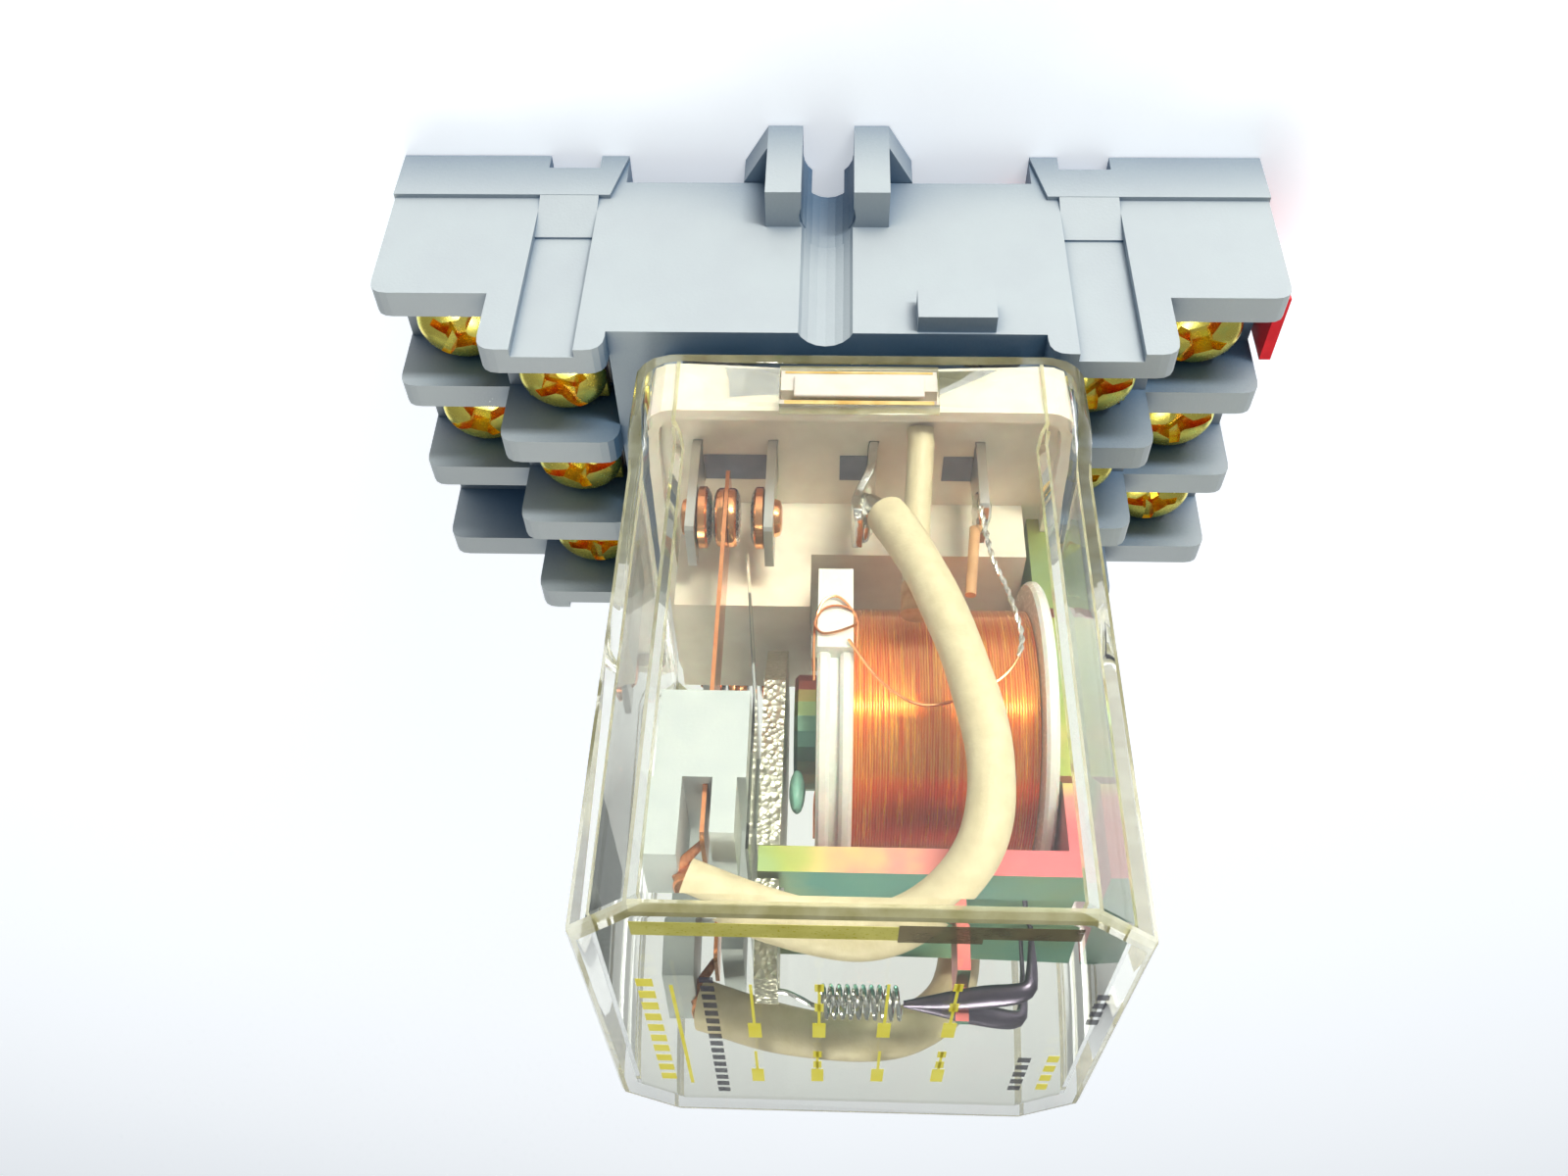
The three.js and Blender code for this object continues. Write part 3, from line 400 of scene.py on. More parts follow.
def curve_through(points, samples):
    """Evenly spaced points on a Catmull-Rom curve through the points."""
    points = [Vector(p) for p in points]
    ends = [points[0] * 2 - points[1], *points, points[-1] * 2 - points[-2]]
    fine = []
    for i in range(1, len(ends) - 2):
        a, b, c, d = ends[i - 1 : i + 3]
        for k in range(16):
            t = k / 16
            fine.append(
                0.5
                * (
                    2 * b
                    + (c - a) * t
                    + (2 * a - 5 * b + 4 * c - d) * t**2
                    + (3 * b - a - 3 * c + d) * t**3
                )
            )
    fine.append(points[-1])
    lengths = [0.0]
    for p, q in zip(fine, fine[1:]):
        lengths.append(lengths[-1] + (q - p).length)
    out, k = [], 0
    for i in range(samples + 1):
        want = lengths[-1] * i / samples
        while k < len(fine) - 2 and lengths[k + 1] < want:
            k += 1
        span = lengths[k + 1] - lengths[k] or 1
        out.append(fine[k].lerp(fine[k + 1], (want - lengths[k]) / span))
    return out


def tube(path, radius, sides=16, flat=1.0, capped=True):
    """A tube along a list of points. radius is a number or a function of the share of the way."""
    verts, faces = [], []
    normal = None
    for i, p in enumerate(path):
        ahead = path[min(i + 1, len(path) - 1)]
        behind = path[max(i - 1, 0)]
        along = (ahead - behind).normalized()
        if normal is None:
            normal = along.orthogonal().normalized()
        normal = (normal - along * normal.dot(along)).normalized()
        across = along.cross(normal)
        r = radius(i / (len(path) - 1)) if callable(radius) else radius
        for k in range(sides):
            angle = 2 * math.pi * k / sides
            verts.append(p + normal * (r * math.cos(angle)) + across * (r * flat * math.sin(angle)))
    for i in range(len(path) - 1):
        for k in range(sides):
            j = (k + 1) % sides
            a, b = i * sides, (i + 1) * sides
            faces.append((a + k, a + j, b + j, b + k))
    if capped:
        faces.append(tuple(range(sides)))
        last = (len(path) - 1) * sides
        faces.append(tuple(last + k for k in range(sides)))
    return verts, faces


def joined(*parts):
    """One vertex and face list from several (verts, faces) pairs."""
    verts, faces = [], []
    for part_verts, part_faces in parts:
        start = len(verts)
        verts.extend(part_verts)
        faces.extend(tuple(start + k for k in face) for face in part_faces)
    return verts, faces


def block(x0, x1, y0, y1, z0, z1):
    """Vertices and faces of a box between the given faces."""
    verts = [(x, y, z) for x in (x0, x1) for y in (y0, y1) for z in (z0, z1)]
    faces = [(0, 1, 3, 2), (4, 6, 7, 5), (0, 4, 5, 1), (2, 3, 7, 6), (0, 2, 6, 4), (1, 5, 7, 3)]
    return verts, faces


def rounded(obj, width, segments=3, angle=35):
    """Rounds the edges of a piece, or of a CAD node, by width millimetres."""
    bevel = obj.modifiers.new("rounded", "BEVEL")
    bevel.width = width * MM
    bevel.segments = segments
    bevel.limit_method = "ANGLE"
    bevel.angle_limit = math.radians(angle)
    bevel.harden_normals = False
    return obj


def blob(centre, radii, rings=10, sides=18, seed=0, rough=0.0):
    """A slightly uneven drop."""
    rng = random.Random(seed)
    verts, faces = [], []
    for i in range(rings + 1):
        polar = math.pi * i / rings
        for k in range(sides):
            angle = 2 * math.pi * k / sides
            grow = 1 + rough * (rng.random() - 0.5) * math.sin(polar)
            unit = (
                math.sin(polar) * math.cos(angle),
                math.sin(polar) * math.sin(angle),
                math.cos(polar),
            )
            verts.append(tuple(c + r * u * grow for c, r, u in zip(centre, radii, unit)))
    for i in range(rings):
        for k in range(sides):
            j = (k + 1) % sides
            a, b = i * sides, (i + 1) * sides
            faces.append((a + k, a + j, b + j, b + k))
    return verts, faces


def carve(obj, verts, faces):
    """Cuts a closed shape out of a piece for good."""
    cutter = piece("cutter", verts, faces, EDGE, None)
    cut = obj.modifiers.new("cut", "BOOLEAN")
    cut.object = cutter
    cut.operation = "DIFFERENCE"
    cut.solver = "EXACT"
    bpy.context.view_layer.update()
    carved = bpy.data.meshes.new_from_object(
        obj.evaluated_get(bpy.context.evaluated_depsgraph_get())
    )
    obj.modifiers.clear()
    obj.data = carved
    bpy.data.objects.remove(cutter)


def dress(names, finish, round_by=0.0, segments=2, smooth=35):
    """Gives CAD nodes their finish, and rounds their edges."""
    for name in names:
        node = nodes[name]
        node.data.materials.clear()
        node.data.materials.append(finish.material)
        shade(node.data, smooth)
        if round_by:
            rounded(node, round_by, segments)


# ---------------------------------------------------------------- socket

dress(["socket_body", "bottom_plate"], GREY, 0.22)
dress(["rail_latch"], RED, 0.18)
dress([n for n in nodes if n.startswith("terminal_strip")], TINNED)


def coil_spring(start, axis_length, radius, turns, wire, sides=8):
    """Points of a helix along +X from its start."""
    steps = turns * 20
    path = []
    for i in range(steps + 1):
        angle = 2 * math.pi * turns * i / steps
        path.append(
            Vector(
                (
                    start[0] + axis_length * i / steps,
                    start[1] + radius * math.cos(angle),
                    start[2] + radius * math.sin(angle),
                )
            )
        )
    return tube(path, wire, sides)


# The latch spring is squeezed between a peg of the socket and the latch's window.
LATCH_SPRING = (-29.6, -10.7, 1.55)
LATCH_SPRING_LENGTH = 5.5
latch_coil = piece(
    "latch_coil",
    *coil_spring(LATCH_SPRING, LATCH_SPRING_LENGTH, 0.95, 7, 0.15),
    BRIGHT,
    None,
    "spring_steel",
)
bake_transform(latch_coil)
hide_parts("latch_spring")


def screw_head_mesh():
    """Domed pan head with a cross recess that a slot runs through, on its shank."""
    radius, top = 3.8, 2.3
    profile = [(0.0, -4.8), (1.2, -4.8), (1.6, -4.2)]
    profile += [(1.6 if k % 2 else 1.35, -4.1 + 0.22 * k) for k in range(1, 18)]
    profile += [(1.6, -0.25), (3.55, -0.25), (3.75, -0.1), (radius, 0.15), (radius, 0.6)]
    for k in range(1, 13):
        angle = math.radians(90 * k / 12)
        profile.append((radius * math.cos(angle) ** 0.8, 0.6 + (top - 0.6) * math.sin(angle)))
    profile[-1] = (0.0, top)
    verts, faces, _ = turned(profile, 48, axis="Z")
    head = piece("screw_head", verts, faces, GOLD, None, smooth=50)
    arms = []
    for long, half, deep, turn in ((3.4, 0.5, 1.1, 0), (2.4, 0.5, 1.1, 90), (1.5, 0.95, 1.5, 45)):
        spin = Matrix.Rotation(math.radians(turn), 3, "Z")
        arm = []
        for z, grow in ((top + 0.4, 1.1), (top - deep, 0.72)):
            for x, y in ((-1, -1), (1, -1), (1, 1), (-1, 1)):
                arm.append(spin @ Vector((x * long * (grow if deep > 1.2 else 1), y * half * grow, z)))
        sides = [(0, 1, 2, 3), (7, 6, 5, 4), (0, 4, 5, 1), (1, 5, 6, 2), (2, 6, 7, 3), (3, 7, 4, 0)]
        arms.append((arm, sides))
    for arm, sides in arms:
        carve(head, arm, sides)
    shade(head.data, 40)
    mesh = head.data
    bpy.data.objects.remove(head)
    return mesh


def clamp_mesh():
    """Square captive clamp plate with turned-down sides."""
    half, thick = 3.6, 0.8
    plate = block(-half, half, -half, half, 0.25, 0.25 + thick)
    lip = 0.35
    lips = []
    for side in (-1, 1):
        middle = side * (half - lip)
        lips.append(block(-half, half, middle - lip, middle + lip, 0.02, 0.4))
    made = piece("clamp_plate", *joined(plate, *lips), GOLD, None)
    mesh = made.data
    bpy.data.objects.remove(made)
    return mesh


screw_mesh, plate_mesh = screw_head_mesh(), clamp_mesh()
head_turn = random.Random(7)
for number in range(1, 12):
    name = f"terminal_screw_{number:02d}"
    low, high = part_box(name)
    centre = (low + high) / 2
    seat = low.z + 4.8 * MM
    body = f"screw_{number:02d}"
    head = bpy.data.objects.new(f"screw_{number:02d}_head", screw_mesh)
    plate = bpy.data.objects.new(f"screw_{number:02d}_plate", plate_mesh)
    for obj, z in ((head, seat + 1.2 * MM), (plate, seat)):
        bpy.context.scene.collection.objects.link(obj)
        obj.location = (centre.x, centre.y, z)
    head.rotation_euler.z = head_turn.uniform(0, math.pi)
    rounded(plate, 0.15, 2)
    settle(head, body, [name])
    settle(plate, body)


# ---------------------------------------------------------------- cover


def cover_ring(z, inset, morph):
    """One outline of the cover: round corners at morph 0, chamfered ones at morph 1."""
    half_x, half_y = COVER_HALF[0] - inset, COVER_HALF[1] - inset
    cut = 3.4 + (4.2 - 3.4) * morph - 0.6 * inset
    shares = (0.0, 0.07, 0.3, 0.5, 0.7, 0.93, 1.0)
    ring = []
    for sx, sy in ((1, 1), (-1, 1), (-1, -1), (1, -1)):
        corner = []
        for share in shares:
            angle = math.pi / 2 * share
            arc = (half_x - cut + cut * math.cos(angle), half_y - cut + cut * math.sin(angle))
            chord = (half_x - cut * share, half_y - cut * (1 - share))
            x = arc[0] + (chord[0] - arc[0]) * morph
            y = arc[1] + (chord[1] - arc[1]) * morph
            corner.append((RELAY_X + sx * x, sy * y, z))
        ring.extend(corner if sx * sy > 0 else reversed(corner))
    return ring


def cover_shell():
    """Outer skin, rim, inner skin and end of the clear cover, as one closed mesh."""
    outer = [
        (COVER_BOTTOM, 0.2, 0.0),
        (COVER_BOTTOM + 0.25, 0.0, 0.0),
        (COLLAR_TOP - 1.6, 0.0, 0.0),
        (COLLAR_TOP - 0.6, 0.03, 0.1),
        (COLLAR_TOP + 0.2, 0.1, 0.4),
        (COLLAR_TOP + 1.0, 0.16, 0.75),
        (COLLAR_TOP + 2.2, 0.2, 1.0),
        (COVER_TOP - 0.75, 0.05, 1.0),
        (COVER_TOP - 0.45, 0.1, 1.0),
        (COVER_TOP - 0.1, 0.38, 1.0),
        (COVER_TOP, 0.75, 1.0),
    ]
    inner = [
        (COVER_TOP - COVER_WALL, COVER_WALL + 0.5, 1.0),
        (COVER_TOP - COVER_WALL - 0.4, COVER_WALL + 0.1, 1.0),
        (COLLAR_TOP + 2.0, COVER_WALL + 0.15, 1.0),
        (COLLAR_TOP + 0.6, COVER_WALL + 0.08, 0.6),
        (COLLAR_TOP - 0.6, COVER_WALL, 0.0),
        (COVER_BOTTOM, COVER_WALL - 0.15, 0.0),
    ]
    rings = [cover_ring(*level) for level in outer]
    inside = [cover_ring(*level) for level in inner]
    verts = [v for ring in rings + inside for v in ring]
    count = len(rings[0])
    faces, slots = [], []
    levels = len(outer) + len(inner)
    end = len(outer) - 1

    def band(a, b, slot_of):
        for k in range(count):
            j = (k + 1) % count
            faces.append((a * count + k, a * count + j, b * count + j, b * count + k))
            slots.append(slot_of(k))

    corner = 7
    for level in range(levels - 1):
        if level == end:
            continue
        top_edge = end - 3 <= level < end
        chamfered = 5 <= level < end or level > end
        band(
            level,
            level + 1,
            lambda k: int(top_edge or (chamfered and k % corner in (0, corner - 2)) or level == 0),
        )
    band(levels - 1, 0, lambda k: 1)
    faces.append(tuple(end * count + k for k in range(count)))
    slots.append(0)
    faces.append(tuple((end + 1) * count + k for k in range(count)))
    slots.append(0)
    return verts, faces, slots


cover_verts, cover_faces, cover_slots = cover_shell()
cover = piece(
    "clear_cover",
    cover_verts,
    cover_faces,
    [CLEAR, EDGE],
    "relay",
    "cover_clear",
    ["cover"],
    smooth=28,
    face_slots=cover_slots,
)


# Snap windows in the collar, each with the base's tab and two amber lines behind it.
WINDOW = {"x": (-8.7, 3.4), "z": (28.6, 32.6)}

for side in (-1, 1):
    near, far = sorted((side * 17.6, side * 21))
    carve(cover, *block(*WINDOW["x"], near, far, *WINDOW["z"]))
    skin = side * 19.1
    strips = [
        block(-8.3, 3.0, *sorted((skin, skin + side * 0.12)), 31.95, 32.4),
        block(-8.3, 3.0, *sorted((skin, skin + side * 0.06)), 28.8, 29.0),
    ]
    name = "snap_amber_near" if side < 0 else "snap_amber_far"
    piece(name, *joined(*strips), AMBER, "relay", "base_ivory")
    tab = piece(
        name.replace("amber", "tab"),
        *block(-7.6, 2.3, *sorted((skin, skin + side * 0.3)), 29.5, 31.6),
        IVORY,
        "relay",
        "base_ivory",
    )
    rounded(tab, 0.12)


def end_marks(boxes):
    """Printed marks on the cover's end, from (x0, x1, y0, y1) of each."""
    return joined(*(block(*edges, COVER_TOP + 0.01, COVER_TOP + 0.04) for edges in boxes))


def print_squares():
    """Contact diagram: two rows of small squares on thin lines."""
    marks = []
    for y, first, line in ((0.2, 4.1, 8.6), (9.9, 4.2, 5.4)):
        for k in range(4):
            x = first - 4.4 * k
            yy = y - 0.3 * k
            marks.append((x - 0.45, x + 0.45, yy - 1.5, yy + 1.3))
            marks.append((x - 0.1, x + 0.1, yy - line, yy - 1.5))
            if k % 2:
                marks.append((x - 0.3, x + 0.3, yy - 0.6 * line, yy - 0.6 * line + 1.4))
                marks.append((x - 0.3, x + 0.3, yy - line, yy - line + 1.2))
    return marks


def print_dashes(x, width, start, stop, step=2.1):
    """A column of plain dashes in place of lettering."""
    count = int((stop - start) / step)
    return [(x - width, x + width, start + k * step, start + (k + 0.6) * step) for k in range(count)]


EDGE_LINE_Y = -18.2
yellow = print_squares() + print_dashes(10.9, 0.55, -9, 12.5) + [(9.1, 9.35, -8, 12)]
yellow += print_dashes(-16.9, 0.4, 4, 13)
dark = print_dashes(6.9, 0.45, -9.5, 14.5, 1.5) + print_dashes(-14.9, 0.45, 4.5, 12.5, 1.6)
dark += print_dashes(-18.4, 0.4, -8, -1, 1.5)
piece("cover_diagram", *end_marks(yellow), INK_YELLOW, "relay", "cover_clear")
piece("cover_dashes", *end_marks(dark), INK_DARK, "relay", "cover_clear")
olive = [(-4.9, 10.9, EDGE_LINE_Y + 0.2, EDGE_LINE_Y + 2.1)]
piece("edge_olive", *end_marks(olive), OLIVE_INK, "relay", "cover_clear")
khaki = [(-9.9, -4.9, EDGE_LINE_Y, EDGE_LINE_Y + 2.4), (-15.6, -9.9, EDGE_LINE_Y, EDGE_LINE_Y + 1.7)]
piece("edge_brown", *end_marks(khaki), BROWN_INK, "relay", "cover_clear")

# ---------------------------------------------------------------- relay base and blades

dress(["relay_base"], IVORY, 0.25, 3)
straight = [f"blade_{kind}_{pole}" for kind in ("nc", "no", "coil") for pole in POLES]
dress(straight, TINNED, 0.12)
dress(["contact_arm_a", "contact_arm_b"], COPPER, 0.04)

PRESS_ROOMS = [(4.55, 9.65), (-3.5, -1.3), (-12.0, -9.6)]
TAG_BOW = [(0, 17), (0, 27), (0, 31.8), (0.25, 33.6), (1.0, 35.2), (1.35, 36.6), (1.1, 38.2)]
TAG_HALF_WIDTH, TAG_HALF_THICKNESS = 2.375, 0.35


def common_tag(y):
    """The common blade: a strip that bows and narrows where its lead is soldered on."""
    path = curve_through([(COM_BLADE_X + x, y, z) for x, z in TAG_BOW], 40)
    last = len(path) - 1
    verts, faces = [], []
    for i, p in enumerate(path):
        waist = math.sin(math.pi * max(0.0, i / last - 0.75) / 0.25) ** 2
        half = TAG_HALF_WIDTH * (1 - 0.18 * waist) * (0.7 if i in (0, last) else 1)
        for dx, dy in ((-1, -half), (1, -half), (1, half), (-1, half)):
            verts.append((p.x + dx * TAG_HALF_THICKNESS, p.y + dy, p.z))
    for i in range(last):
        for k in range(4):
            j = (k + 1) % 4
            faces.append((4 * i + k, 4 * i + j, 4 * i + 4 + j, 4 * i + 4 + k))
    faces += [(0, 1, 2, 3), tuple(4 * last + k for k in range(4))]
    return verts, faces


for pole, side in POLES.items():
    y = side * POLE_Y
    # Thin dark sheets on the base's top face over the press rooms: painted shade that stands for the
    # depth of the recesses.
    shades = [block(x0, x1, y - 0.8, y + 2.05, PRESS_TOP, PRESS_TOP + 0.06) for x0, x1 in PRESS_ROOMS]
    piece(f"press_room_shade_{pole}", *joined(*shades), PAINTED_RECESS_SHADE, "relay", "base_ivory")
    tag = piece(
        f"common_tag_{pole}", *common_tag(y), SOLDER, "relay", "blade_tinned", [f"blade_com_{pole}"]
    )
    rounded(tag, 0.12)
    drop = blob((COM_BLADE_X + 0.6, y - side * 0.4, 36.2), (0.75, 2.1, 1.9), seed=3, rough=0.1)
    piece(f"common_solder_{pole}", *drop, SOLDER, "relay", "blade_tinned")
    drop = blob((COIL_BLADE_X, y, 35.8), (0.75, 1.9, 1.7), seed=5, rough=0.12)
    piece(f"coil_solder_{pole}", *drop, SOLDER, "relay", "blade_tinned")


# ---------------------------------------------------------------- contacts


def rivet(name, x_face, x_back, y, body, stands_for):
    """Contact rivet: bright copper shank and head, grey facing on the working side."""
    d = 1 if x_face > x_back else -1
    profile = [
        (0.0, x_back - d * 0.62),
        (0.9, x_back - d * 0.6),
        (1.35, x_back - d * 0.45),
        (1.5, x_back - d * 0.1),
        (1.5, x_back),
        (1.15, x_back),
        (1.15, x_back + d * 0.7),
        (2.1, x_back + d * 0.72),
        (2.42, x_back + d * 0.85),
        (2.42, x_face - d * 0.45),
        (2.25, x_face - d * 0.3),
        (2.2, x_face - d * 0.28),
        (1.8, x_face - d * 0.08),
        (1.0, x_face - d * 0.01),
        (0.0, x_face),
    ]
    verts, faces, tags = turned(profile, 40, (0, y, CONTACT_Z))
    slots = [1 if k >= 10 else 0 for k in tags]
    piece(name, verts, faces, [COPPER, SILVER], body, "copper", [stands_for], face_slots=slots)


for pole, side in POLES.items():
    y = side * POLE_Y
    rivet(f"nc_rivet_{pole}", 8.6, 10.45, y, "relay", f"fixed_contact_nc_{pole}")
    rivet(f"no_rivet_{pole}", 5.6, 3.75, y, "relay", f"fixed_contact_no_{pole}")
    double = [(0.0, -1.05), (1.0, -1.03), (1.8, -0.95), (2.15, -0.8), (2.3, -0.6), (2.32, -0.2)]
    double += [(1.15, -0.15), (1.15, 0.15)]
    double += [(r, -h) for r, h in reversed(double[:6])]
    verts, faces, tags = turned(double, 40, (ARM_X, y, CONTACT_Z))
    slots = [1 if k < 3 or k > 9 else 0 for k in tags]
    piece(
        f"moving_rivet_{pole}",
        verts,
        faces,
        [COPPER, SILVER],
        "armature",
        "copper",
        [f"moving_contact_{pole}"],
        face_slots=slots,
    )


# ---------------------------------------------------------------- magnet

dress(["yoke", "core"], CHROMATE, 0.15)
dress(["armature"], NICKEL, 0.15)
dress(["actuator"], LAVENDER, 0.22, 3)
dress(["insulating_leaf"], FILM)

BORE_RADIUS, HUB_RADIUS = 3.6, 4.5
PAIR_HUB = 11.3
FLANGE_ROUND = 0.25
BOBBIN_START, BOBBIN_END = -16.9, 0.2
PAIR_START = WINDING[1] + 0.02


def flange(x0):
    """Outline of one flange, from its hub side at x0 outwards and back."""
    x1 = x0 + FLANGE_THICKNESS
    edge = FLANGE_RADIUS - FLANGE_ROUND
    return [
        (edge, x0),
        (FLANGE_RADIUS, x0 + FLANGE_ROUND),
        (FLANGE_RADIUS, x1 - FLANGE_ROUND),
        (edge, x1),
    ]


# One flange at the yoke's end, and a pair with a shallow groove between at the armature's.
spool = [(BORE_RADIUS, BOBBIN_START)]
spool += flange(BOBBIN_START)
spool += [(HUB_RADIUS, BOBBIN_START + FLANGE_THICKNESS), (HUB_RADIUS, PAIR_START)]
spool += flange(PAIR_START)
spool += [(PAIR_HUB, PAIR_START + FLANGE_THICKNESS), (PAIR_HUB, BOBBIN_END - FLANGE_THICKNESS)]
spool += flange(BOBBIN_END - FLANGE_THICKNESS)
spool += [(BORE_RADIUS, BOBBIN_END), (BORE_RADIUS, BOBBIN_START)]
spool_verts, spool_faces, _ = turned(spool, 96, (0, 0, COIL_Z))
blocks = [
    block(WINDING[1] + 0.05, BOBBIN_END, *sorted((side * 12.6, side * 9.2)), 43, 50)
    for side in (-1, 1)
]
piece(
    "coil_former",
    *joined((spool_verts, spool_faces), *blocks),
    WHITE,
    "relay",
    "bobbin_white",
    ["bobbin"],
)

TURNS = 68
wobble = random.Random(11)
pitch = (WINDING[1] - WINDING[0]) / TURNS
turn_profile = [(4.6, WINDING[0])]
for k in range(TURNS):
    x = WINDING[0] + k * pitch
    crest = WINDING_RADIUS + wobble.uniform(-0.035, 0.0)
    turn_profile += [(crest - 0.075, x + 0.02 * pitch), (crest, x + 0.3 * pitch)]
    turn_profile += [(crest, x + 0.7 * pitch)]
turn_profile += [(WINDING_RADIUS - 0.08, WINDING[1]), (4.6, WINDING[1]), (4.6, WINDING[0])]
verts, faces, _ = turned(turn_profile, 120, (0, 0, COIL_Z))
piece("coil_turns", verts, faces, ENAMEL, "relay", "winding_copper", ["winding"], smooth=75)

# The drop hangs beside the pole, clear of the armature even when that is pulled in.
GLUE_RADII = (0.6, 1.1, 1.7)
PULLED_IN = 0.35
glue_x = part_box("armature")[0].x / MM - PULLED_IN - 1.1 * GLUE_RADII[0]
drop = blob((glue_x, -4.6, 57.2), GLUE_RADII, seed=2, rough=0.05)
piece("glue_on_pole", *drop, GLUE, "relay", "steel_chromated")

# Return spring: coils and a hook at the armature.
coil = coil_spring((-6.0, SPRING_Y, SPRING_Z), 5.6, 0.92, 10, 0.17)
hook = tube(
    curve_through(
        [
            (-0.4, SPRING_Y + 0.9, SPRING_Z),
            (0.2, SPRING_Y + 0.5, SPRING_Z),
            (1.0, SPRING_Y, SPRING_Z - 0.2),
            (2.2, SPRING_Y, SPRING_Z - 0.6),
            (3.6, SPRING_Y, SPRING_Z - 0.5),
        ],
        20,
    ),
    0.17,
    8,
)
piece(
    "return_coil", *joined(coil, hook), BRIGHT, "relay", "spring_steel", ["return_spring"]
)
link_parts = []
for side in (-1, 1):
    path = curve_through(
        [
            (-6.2, SPRING_Y, SPRING_Z),
            (-8.5, SPRING_Y + side * 0.55, SPRING_Z),
            (-11.5, SPRING_Y + side * 1.6, SPRING_Z),
            (-14.2, SPRING_Y + side * 2.5, SPRING_Z - 0.1),
            (-14.75, SPRING_Y + side * 2.6, SPRING_Z - 1.2),
            (-14.75, SPRING_Y + side * 2.6, 65.2),
        ],
        36,
    )
    link_parts.append(tube(path, lambda t: 0.22 + 0.5 * math.sin(math.pi * min(t * 1.15, 1)), 12, 0.7))
piece("tapered_link", *joined(*link_parts), DARK, "relay", "link_steel", ["spring_link"])


# ---------------------------------------------------------------- leads and wires

LEAD_PATH = [
    (-4.9, -12.9, 38.0),
    (-6.4, -13.9, 41.6),
    (-8.3, -14.4, 46.6),
    (-10.1, -14.6, 52.8),
    (-11.3, -14.4, 59.8),
    (-10.6, -13.0, 65.2),
    (-7.4, -10.7, 68.5),
    (-3.0, -9.4, 69.8),
    (2.6, -9.9, 69.1),
    (8.5, -10.8, 67.3),
]
COIL_WIRE_PATH = [
    (-12.0, -13.5, 37.6),
    (-12.6, -13.2, 42.0),
    (-13.8, -12.6, 45.4),
    (-14.4, -12.1, 49.2),
    (-12.5, -11.7, 52.1),
    (-7.8, -11.3, 53.9),
    (-4.6, -11.8, 52.6),
    (-2.0, -13.0, 49.6),
]

BARE_END = [(-4.9, -12.9, 38.2), (-4.3, -12.4, 37.0), (-3.6, -11.8, 35.9)]
ARM_JOINT = [(8.2, -10.8, 67.3), (8.9, -10.9, 66.9), (8.7, -10.9, 66.0), (7.6, -10.8, 64.6)]
LEAD_RING = [(8.1, -10.8, 67.4), (8.55, -10.8, 67.28), (9.0, -10.8, 67.1)]
COIL_LOOPS = [
    (-2.6, -12.3, 50.3),
    (-2.6, -12.6, 47.4),
    (-1.6, -12.85, 46.6),
    (-0.3, -12.85, 46.8),
    (0.38, -12.6, 47.9),
    (-0.2, -12.85, 49.0),
    (-1.8, -12.85, 48.6),
    (-2.65, -12.6, 47.6),
    (-1.4, -12.95, 45.9),
    (-0.2, -12.9, 46.2),
    (0.4, -12.3, 48.2),
    (0.42, -11.9, 52.4),
]


def on_side(points, side):
    """The near side's points, mirrored for the far side."""
    return [(x, y if side < 0 else -y, z) for x, y, z in points]


for pole, side in POLES.items():
    path = curve_through(on_side(LEAD_PATH, side), 90)
    lead = piece(
        f"sleeved_lead_{pole}",
        *tube(path, lambda t: 1.6 + 0.03 * math.sin(37 * t), 24),
        SLEEVE,
        None,
        "sleeve_cream",
        smooth=60,
    )
    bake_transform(lead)
    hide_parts(f"lead_{pole}")
    bare = curve_through(on_side(BARE_END, side), 12)
    piece(f"lead_end_{pole}", *tube(bare, 0.8, 12), SOLDER, "relay", "blade_tinned")
    tip = curve_through(
        on_side(ARM_JOINT, side),
        20,
    )
    piece(
        f"arm_joint_{pole}",
        *tube(tip, lambda t: 0.62 - 0.3 * t, 14, 0.8),
        FLUX,
        "armature",
        "copper",
    )
    ring = curve_through(on_side(LEAD_RING, side), 8)
    piece(
        f"lead_ring_{pole}", *tube(ring, lambda t: 1.25 - 0.5 * t * t, 20), COPPER, "armature", "copper"
    )
    wire = curve_through(on_side(COIL_WIRE_PATH, side), 120)
    silver, bare_copper = wire[:56], wire[55:]
    twisted = []
    for phase in (0.0, math.pi):
        strand = [
            p + Vector((math.cos(i * 0.9 + phase), math.sin(i * 0.9 + phase), 0)) * 0.12
            for i, p in enumerate(silver)
        ]
        twisted.append(tube(strand, 0.12, 6))
    piece(
        f"coil_tail_{pole}",
        *joined(*twisted),
        STRAND,
        "relay",
        "copper",
        [f"coil_wire_{pole}"],
    )
    piece(f"coil_tail_end_{pole}", *tube(bare_copper, 0.11, 6), COPPER, "relay", "copper")
    loops = curve_through(on_side(COIL_LOOPS, side), 90)
    piece(f"coil_loops_{pole}", *tube(loops, 0.1, 6), COPPER, "relay", "copper")

sleeve_end = curve_through([(-7.13, -10.42, 42.8), (-7.1, -10.36, 44.2), (-7.0, -10.2, 45.4)], 10)
piece("sleeve_dark_end", *tube(sleeve_end, 1.12, 18), SCORCHED, "relay", "sleeve_cream")
sleeve_path = curve_through(
    [
        (-7.6, -15.0, 31.0),
        (-7.5, -13.6, 33.6),
        (-7.3, -11.6, 37.2),
        (-7.2, -10.6, 40.6),
        (-7.1, -10.4, 43.6),
    ],
    30,
)
piece(
    "insulating_sleeve",
    *tube(sleeve_path, 1.05, 18),
    SLEEVE,
    "relay",
    "sleeve_cream",
    ["lead_sleeve"],
)
tan_path = curve_through([(-11.9, -10.2, 37.0), (-11.6, -10.0, 40.0), (-11.3, -9.6, 43.0)], 12)
piece("tan_sleeve", *tube(tan_path, 0.43, 12), TAN, "relay", "sleeve_cream")


# ---------------------------------------------------------------- floor, light and camera

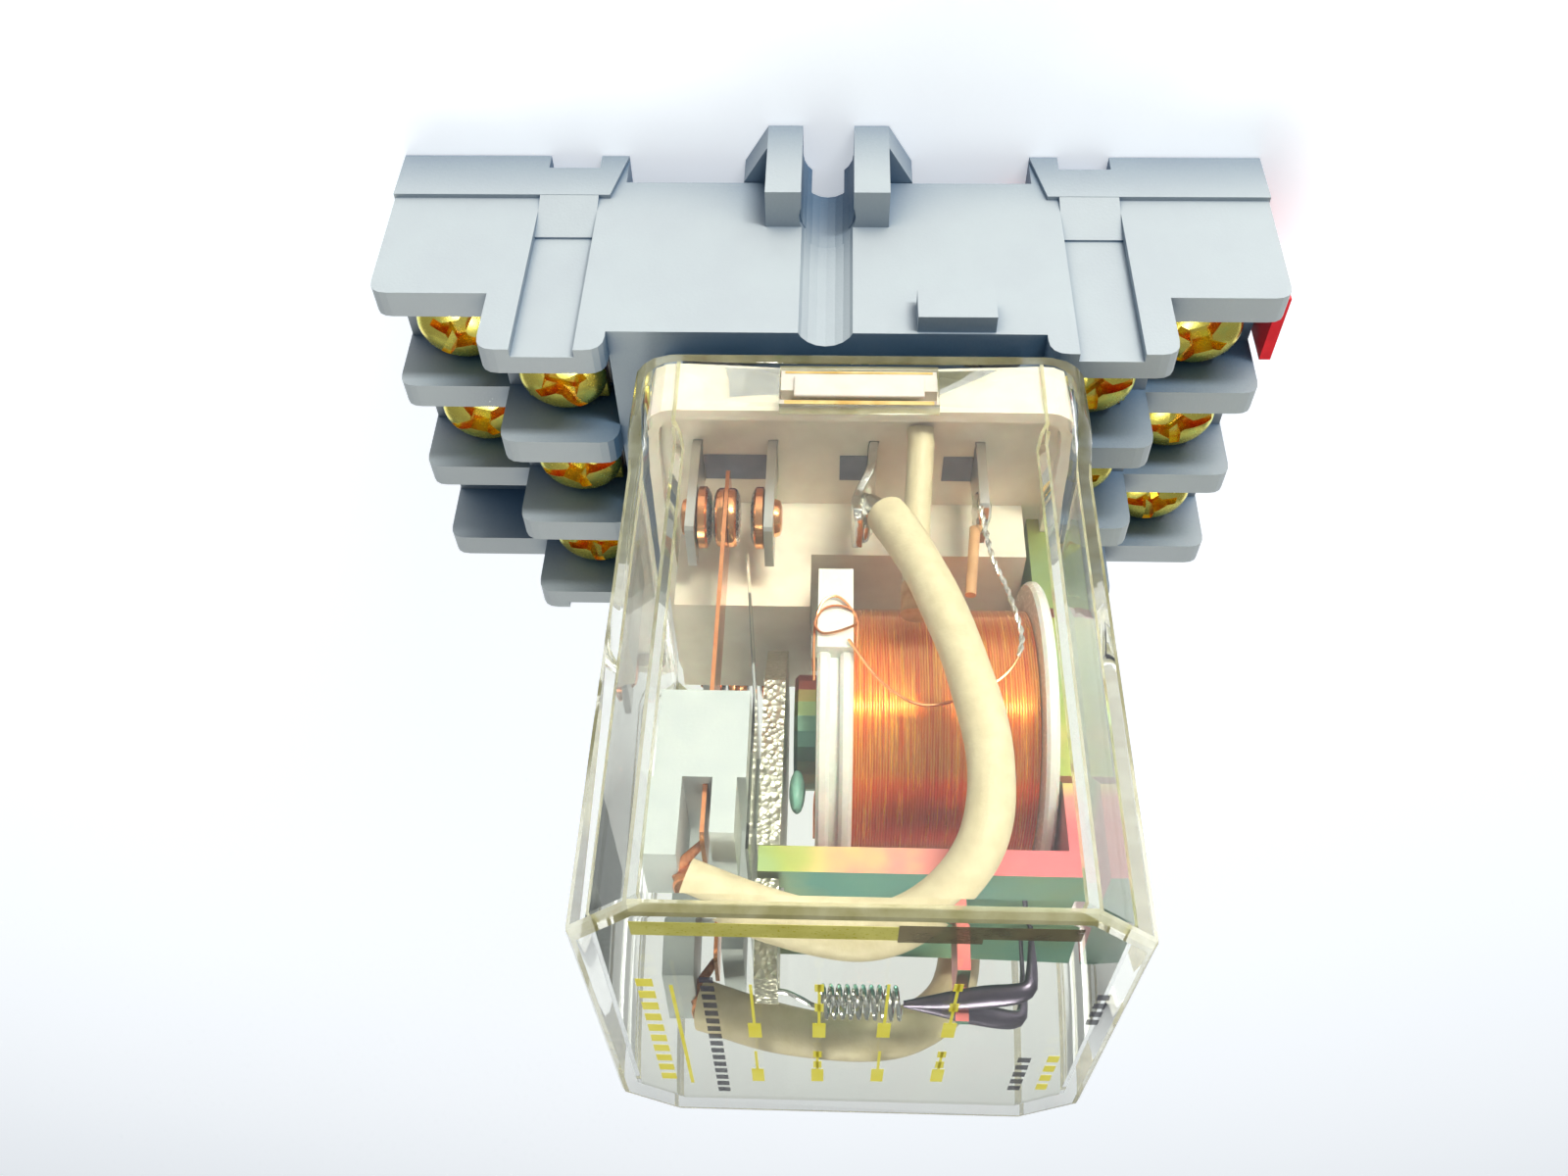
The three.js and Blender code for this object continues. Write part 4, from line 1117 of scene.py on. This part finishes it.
floor = Finish("floor", 0.6)
floor.colour(floor.noise(0.004, 3), [(0.3, (0.84, 0.87, 0.91)), (0.7, (0.88, 0.90, 0.93))])
floor.set(Emission_Color=(0.94, 0.97, 1.0, 1), Emission_Strength=0.42)
FLOOR_HALF = 2000
corners = [(-1, -1), (1, -1), (1, 1), (-1, 1)]
ground = piece(
    "floor",
    [(x * FLOOR_HALF, y * FLOOR_HALF, -0.1) for x, y in corners],
    [(0, 1, 2, 3)],
    floor,
    None,
)


def area_light(name, place, target, size, power, colour):
    """A soft rectangular light, aimed at its target; places and sizes in millimetres."""
    lamp = bpy.data.lights.new(name, "AREA")
    lamp.shape = "RECTANGLE"
    lamp.size, lamp.size_y = (s * MM for s in size)
    lamp.energy = power
    lamp.color = colour
    obj = bpy.data.objects.new(name, lamp)
    bpy.context.scene.collection.objects.link(obj)
    at, to = Vector(place) * MM, Vector(target) * MM
    obj.location = at
    obj.rotation_euler = (to - at).to_track_quat("-Z", "Y").to_euler()


area_light("key", (-185, -525, 100), (0, 0, 40), (240, 60), 2.6, (1.0, 0.99, 0.97))
area_light("top", (60, 120, 460), (0, 0, 40), (200, 120), 0.9, (1.0, 0.99, 0.97))


WORLD_DIM, WORLD_BRIGHT = 0.20, 0.44


def studio_world():
    """Soft surroundings, brightest on the side that the main light comes from."""
    world = bpy.data.worlds.new("studio")
    bpy.context.scene.world = world
    world.use_nodes = True
    tree = world.node_tree
    place = tree.nodes.new("ShaderNodeTexCoord")
    towards = tree.nodes.new("ShaderNodeVectorMath")
    towards.operation = "DOT_PRODUCT"
    towards.inputs[1].default_value = (0.0, -1.0, 0.0)
    ramp = tree.nodes.new("ShaderNodeMapRange")
    ramp.inputs["From Min"].default_value = -1
    ramp.inputs["To Min"].default_value = WORLD_DIM
    ramp.inputs["To Max"].default_value = WORLD_BRIGHT
    background = tree.nodes["Background"]
    background.inputs["Color"].default_value = (0.90, 0.95, 1.0, 1)
    tree.links.new(place.outputs["Generated"], towards.inputs[0])
    tree.links.new(towards.outputs["Value"], ramp.inputs["Value"])
    tree.links.new(ramp.outputs["Result"], background.inputs["Strength"])


studio_world()
bpy.context.scene.view_settings.view_transform = "Standard"

EYE = Vector((-0.556, -93.246, 105.201))
LOOKS_AT = Vector((3.0, -6.3, 40.0))
UP = Vector((0.0305, 0, -1))
LENS, SENSOR = 31.397, 36
NEAREST = 5

camera_data = bpy.data.cameras.new("camera")
camera_data.lens = LENS
camera_data.sensor_width = SENSOR
camera_data.clip_start = NEAREST * MM
camera = bpy.data.objects.new("camera", camera_data)
bpy.context.scene.collection.objects.link(camera)
back = (EYE - LOOKS_AT).normalized()
right = UP.cross(back).normalized()
turned_to_view = Matrix((right, back.cross(right), back)).transposed().to_4x4()
camera.matrix_world = Matrix.Translation(EYE * MM) @ turned_to_view
bpy.context.scene.camera = camera
